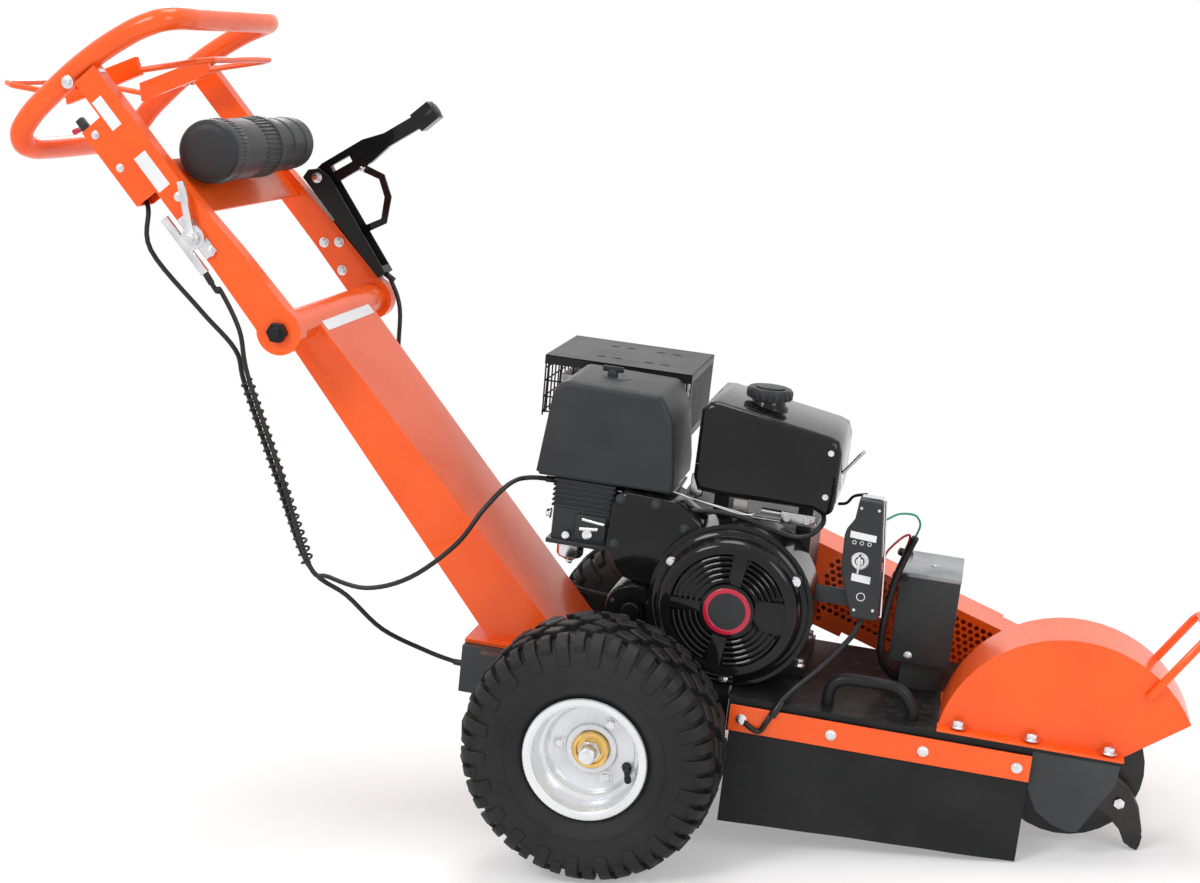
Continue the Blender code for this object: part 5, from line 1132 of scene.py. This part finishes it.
def handle_loop():
    """The steering loop bent from round tube, and the bolts that hold it to the arms."""
    shape = bmesh.new()
    tube(shape, loop_route(), 0.0165, 8, closed=True, smooth=False)
    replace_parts(made_piece("steering_loop", shape, ORANGE, "handle", smooth=60),
                "loop_handle")
    shape = bmesh.new()
    for side in (-1, 1):
        bolt(shape, arm_point(0.468, side * 0.214, -0.03), (0, side, 0), 0.0125, 0.0055, 0.0095)
        bolt(shape, arm_point(0.4625, side * 0.131, -0.0335), (0, side, 0), 0.011, 0.005, 0.0085)
    made_piece("loop_bolts", shape, ZINC, "handle")


def arm_plates():
    """Two blank plates on the near arm."""
    shape = bmesh.new()
    for low, high, inset in ((0.372, 0.422, 0.001), (0.262, 0.322, -0.003)):
        block(shape, (low, -ARM_SKIN - 0.0006, inset), (high, -ARM_SKIN, 0.0185), 0.0, 1, ARM)
    made_piece("arm_plates", shape, PALE, "handle")


def canister_point(y, around=0.0, radius=0.0):
    """A point on the canister's axis, or on a circle round it."""
    along, front = CANISTER
    return arm_point(along + radius * math.cos(around), y, front + radius * math.sin(around))


def ribs(shape, count, radius, y, length, width, round_off):
    """Round ribs along the canister's skin."""
    for k in range(count):
        spot = canister_point(y, 2 * math.pi * k / count, radius)
        rod(shape, spot, spot + Vector((0, length, 0)), width, 8, round_off=round_off)


def document_canister():
    """The screw cap with its knurled rim, the ribbed sleeve behind it, and two beads on the body."""
    shape = bmesh.new()
    turned(shape, canister_point(-0.1675), (0, -1, 0),
           [(-0.003, 0.0), (-0.003, 0.04), (0.0, 0.04), (0.0015, 0.038), (0.0022, 0.03), (0.0026, 0.0)], 60,
           loop=False)
    turned(shape, canister_point(-0.1185), (0, -1, 0),
           [(0.0, 0.0412), (0.0, 0.0455), (0.002, 0.0465), (0.042, 0.0465), (0.046, 0.0455),
            (0.0488, 0.0425),
            (0.0492, 0.0385)], 72)
    ribs(shape, 48, 0.0462, -0.1215, -0.02, 0.0013, 0.0003)
    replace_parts(made_piece("canister_lid", shape, MOULDED, "canister_cap", smooth=35),
                "canister_cap")
    shape = bmesh.new()
    turned(shape, canister_point(0), (0, 1, 0),
           [(-0.1175, 0.0412), (-0.1175, 0.0452), (-0.05, 0.0455), (-0.048, 0.0445), (0.006, 0.0445),
            (0.008, 0.047), (0.022, 0.047), (0.024, 0.045), (0.024, 0.041)], 72)
    ribs(shape, 40, 0.0446, -0.047, 0.052, 0.0016, 0.0004)
    made_piece("canister_sleeve", shape, MOULDED, "handle", smooth=35)
    shape = bmesh.new()
    for y in (0.07, 0.118):
        turned(shape, canister_point(y), (0, 1, 0), [(0, 0.0406), (0.004, 0.0424), (0.008, 0.0406)], 60)
    made_piece("canister_beads", shape, MOULDED, "handle", smooth=60)


def handle_bolts():
    """Screws and bolts through the arms, and a bright cap on each arm's end."""
    shape = bmesh.new()
    for side in (-1, 1):
        bolt(shape, arm_point(0.24, side * ARM_SKIN, 0.002), (0, side, 0), 0.009, 0.004, 0.0072)
    for u in (0.326, 0.385):
        bolt(shape, arm_point(u, -0.213, -0.045), (0, -1, 0), 0.008, 0.0035, 0.0062)
    for u, v in ((0.12, -0.007), (0.066, -0.011), (0.105, 0.014)):
        bolt(shape, arm_point(u, 0.1906, v), (0, -1, 0), 0.011, 0.005, 0.0085)
    for u in (0.15, 0.208):
        bolt(shape, arm_point(u, -0.2189, -0.008), (0, -1, 0), 0.009, 0.0045, 0.007)
    bolt(shape, arm_point(0.18, -0.2345, -0.014), (0, -1, 0), 0.012, 0.005, 0.009)
    for u in (0.052, 0.128):
        bolt(shape, arm_point(u, CLUTCH_SKIN, 0.012), (0, 1, 0), 0.011, 0.005, 0.0085)
    for y, way in ((CLUTCH_SKIN, 1), (0.178, -1)):
        bolt(shape, arm_point(0.207, y, 0.054), (0, way, 0), 0.012, 0.0055, 0.009)
    for y in (-0.203, 0.203):
        block(shape, (0.448, y - 0.009, -0.019), (0.4535, y + 0.009, 0.015), 0.0, 1, ARM)
    made_piece("handle_bolts", shape, ZINC, "handle")


def stop_switch():
    """The engine stop's toggle above its channel."""
    shape = bmesh.new()
    block(shape, (0.398, -0.196, 0.054), (0.424, -0.184, 0.066), 0.002, 2, ARM)
    made_piece("stop_toggle", shape, MOULDED, "handle")
    shape = bmesh.new()
    rod(shape, arm_point(0.411, -0.19, -0.065), arm_point(0.415, -0.19, -0.08), 0.0035, 16, tip=0.0045,
        round_off=0.001)
    made_piece("toggle_tip", shape, CRIMSON, "handle")


def clutch_pin():
    """The pin that joins the clutch lever to its link."""
    shape = bmesh.new()
    rod(shape, arm_point(0.174, 0.1905, 0.119), arm_point(0.174, 0.212, 0.119), 0.0042, 16, round_off=0.0006)
    made_piece("clutch_pins", shape, ZINC, "clutch_lever")


def clutch_knob():
    """The knob on the clutch lever's end."""
    shape = bmesh.new()
    rod(shape, arm_point(0.174, CLUTCH_SIDE, 0.236), arm_point(0.174, CLUTCH_SIDE, 0.279), 0.0145, 32,
        tip=0.0155, round_off=0.005)
    made_piece("clutch_knob", shape, MOULDED, "clutch_lever", smooth=60)


def mast_plate():
    """A blank plate across the mast, just under the fold."""
    shape = bmesh.new()
    block(shape, (-0.03, -0.104, -0.021), (0.01, 0.104, -0.02), 0.0, 1, ARM)
    made_piece("mast_plate", shape, PALE, "chassis")


handle_loop()
arm_plates()
document_canister()
handle_bolts()
clutch_pin()
stop_switch()
clutch_knob()
mast_plate()


# ---------------------------------------------------------------- cables across the fold

def fold_blend(shape, name, start, end, node):
    """A cable piece, baked in place and left on no body; the start and end points are not used."""
    piece = made_piece(name, shape, CABLE, None, smooth=60,
                       blended=("chassis", "handle", DECK @ Vector(start), DECK @ Vector(end)))
    if node:
        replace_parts(piece, node)


def wrapped(shape, route, radius, pitch, wire):
    """A flat spiral wound round a route."""
    turns = []
    travelled = 0.0
    for here, after in zip(route, route[1:]):
        along = after - here
        steps = max(1, round(along.length / (pitch / 14)))
        axis = along.normalized()
        side = axis.cross(Vector((0, 1, 0))).normalized()
        other = axis.cross(side)
        for k in range(steps):
            t = k / steps
            turn = 2 * math.pi * (travelled + along.length * t) / pitch
            turns.append(here + along * t + (side * math.cos(turn) + other * math.sin(turn)) * radius)
        travelled += along.length
    tube(shape, turns, wire, 1, smooth=False)


STOP_ROUTE = [arm_point(0.3, -0.176, -0.052), arm_point(0.262, -0.19, -0.057), (-0.743, -0.203, 0.602),
              (-0.66, -0.205, 0.525), (-0.602, -0.205, 0.474), (-0.584, -0.205, 0.425),
              (-0.528, -0.203, 0.298),
              (-0.47, -0.198, 0.169), (-0.412, -0.18, 0.125), (-0.362, -0.15, 0.072), (-0.3, -0.112, 0.036),
              (-0.262, -0.1, 0.0235), (-0.243, -0.1, 0.022)]
THROTTLE_ROUTE = [arm_point(0.131, -0.2208, -0.0335), arm_point(0.1, -0.2215, -0.036),
                  (-0.625, -0.219, 0.56),
                  (-0.593, -0.217, 0.506), (-0.576, -0.215, 0.44), (-0.519, -0.213, 0.309),
                  (-0.464, -0.209, 0.172), (-0.434, -0.207, 0.158), (-0.375, -0.205, 0.15),
                  (-0.31, -0.205, 0.177), (-0.247, -0.202, 0.236), (-0.215, -0.185, 0.29),
                  (-0.188, -0.155, 0.326), (-0.165, -0.13, 0.334), (-0.124, -0.118, 0.334)]
CLUTCH_ROUTE = [arm_point(0.018, CLUTCH_SIDE, 0.043), arm_point(0.004, CLUTCH_SIDE, 0.0435),
                (-0.486, 0.197, 0.5),
                (-0.478, 0.188, 0.42), (-0.452, 0.18, 0.34), (-0.4, 0.17, 0.23), (-0.3, 0.165, 0.13),
                (-0.15, 0.168, 0.088), (0.05, 0.166, 0.08), (0.16, 0.158, 0.066), (0.25, 0.135, 0.04),
                (0.282, 0.132, 0.022)]


def cables():
    """Three sheathed cables with a ferrule at each end, two of them bundled in a spiral wrap."""
    for name, route, node, start, end in (
            ("stop_lead", STOP_ROUTE, "stop_cable", (-0.47, 0, 0.169), (-0.66, 0, 0.525)),
            ("throttle_lead", THROTTLE_ROUTE, "throttle_cable", (-0.47, 0, 0.169), (-0.64, 0, 0.58)),
            ("clutch_lead", CLUTCH_ROUTE, "clutch_cable", (-0.4, 0, 0.23), (-0.5, 0, 0.52))):
        shape = bmesh.new()
        tube(shape, route, 0.0036, 3)
        path = fair(route)
        for at_end, further in ((0, 3), (-1, -4)):
            tip, inner = path[at_end], path[further]
            way = (inner - tip).normalized()
            rod(shape, tip, tip + way * 0.018, 0.0048, 16, round_off=0.0006)
        fold_blend(shape, name, start, end, node)
    shape = bmesh.new()
    both = [(Vector(a) + Vector(b)) / 2 for a, b in zip(STOP_ROUTE[5:8], THROTTLE_ROUTE[4:7])]
    wrapped(shape, fair(both), 0.0088, 0.0125, 0.0019)
    fold_blend(shape, "spiral_wrap", (-0.47, 0, 0.169), (-0.66, 0, 0.525), None)


cables()


# ---------------------------------------------------------------- floor and light
FLOOR_REACH = 60.0
FADE_REACH = (1.1, 2.6)      # the floor's own shading gives way to white between these distances
NEAR_WHITE = 0.3
WORLD_LEVEL = 0.62


def seen_white(tree):
    """One on the rays that show the background: straight from the camera, off a mirror or through glass."""
    path = tree.nodes.new("ShaderNodeLightPath")
    seen = maths(tree, "MAXIMUM", path.outputs["Is Camera Ray"], path.outputs["Is Glossy Ray"])
    return maths(tree, "MAXIMUM", seen, path.outputs["Is Transmission Ray"])


def make_floor():
    """A wide pale sheet that takes the machine's shadow."""
    shape = bmesh.new()
    bmesh.ops.create_grid(shape, x_segments=2, y_segments=2, size=FLOOR_REACH)
    bmesh.ops.translate(shape, vec=(0, 0, -0.0004), verts=shape.verts)
    mesh = bpy.data.meshes.new("floor")
    shape.to_mesh(mesh)
    shape.free()
    paint = bpy.data.materials.new("floor_paper")
    paint.use_nodes = True
    tree = paint.node_tree
    shader = tree.nodes["Principled BSDF"]
    feed(tree, shader, Base_Color=(0.96, 0.96, 0.96, 1), Roughness=0.9, Specular_IOR_Level=0.1)
    place = tree.nodes.new("ShaderNodeTexCoord").outputs["Object"]
    away = tree.nodes.new("ShaderNodeVectorMath")
    away.operation = "LENGTH"
    tree.links.new(place, away.inputs[0])
    cover = spread(tree, away.outputs["Value"], *FADE_REACH, NEAR_WHITE, 1.0)
    white = tree.nodes.new("ShaderNodeEmission")
    mixed = tree.nodes.new("ShaderNodeMixShader")
    tree.links.new(maths(tree, "MULTIPLY", cover, seen_white(tree)), mixed.inputs[0])
    tree.links.new(shader.outputs["BSDF"], mixed.inputs[1])
    tree.links.new(white.outputs["Emission"], mixed.inputs[2])
    tree.links.new(mixed.outputs["Shader"], tree.nodes["Material Output"].inputs["Surface"])
    mesh.materials.append(paint)
    floor = bpy.data.objects.new("floor", mesh)
    bpy.context.scene.collection.objects.link(floor)


def make_world():
    """White where the camera or a mirror sees it, and a softer level as a light."""
    world = bpy.data.worlds.new("studio")
    bpy.context.scene.world = world
    world.use_nodes = True
    tree = world.node_tree
    tree.nodes.clear()
    level = tree.nodes.new("ShaderNodeMapRange")
    feed(tree, level, To_Min=WORLD_LEVEL, To_Max=1.0, Value=seen_white(tree))
    back = tree.nodes.new("ShaderNodeBackground")
    feed(tree, back, Color=(1, 1, 1, 1), Strength=level.outputs["Result"])
    feed(tree, tree.nodes.new("ShaderNodeOutputWorld"), Surface=back.outputs["Background"])


def lamp(name, place, target, size, power):
    """A round soft lamp aimed at a point."""
    data = bpy.data.lights.new(name, "AREA")
    data.shape = "DISK"
    data.size = size
    data.energy = power
    obj = bpy.data.objects.new(name, data)
    obj.location = place
    obj.rotation_euler = (Vector(target) - Vector(place)).to_track_quat("-Z", "Y").to_euler()
    bpy.context.scene.collection.objects.link(obj)


make_camera()
make_floor()
make_world()
lamp("key", (-1.6, -3.0, 3.4), (0, 0, 0.4), 1.5, 66)
lamp("fill", (2.8, -2.2, 1.8), (0.1, 0, 0.4), 1.6, 30)
lamp("top", (0.2, 0.4, 4.2), (0, 0, 0.3), 1.8, 54)
lamp("back", (-1.5, 3.0, 2.6), (0, 0, 0.5), 1.4, 26)
bpy.context.scene.view_settings.view_transform = "Standard"
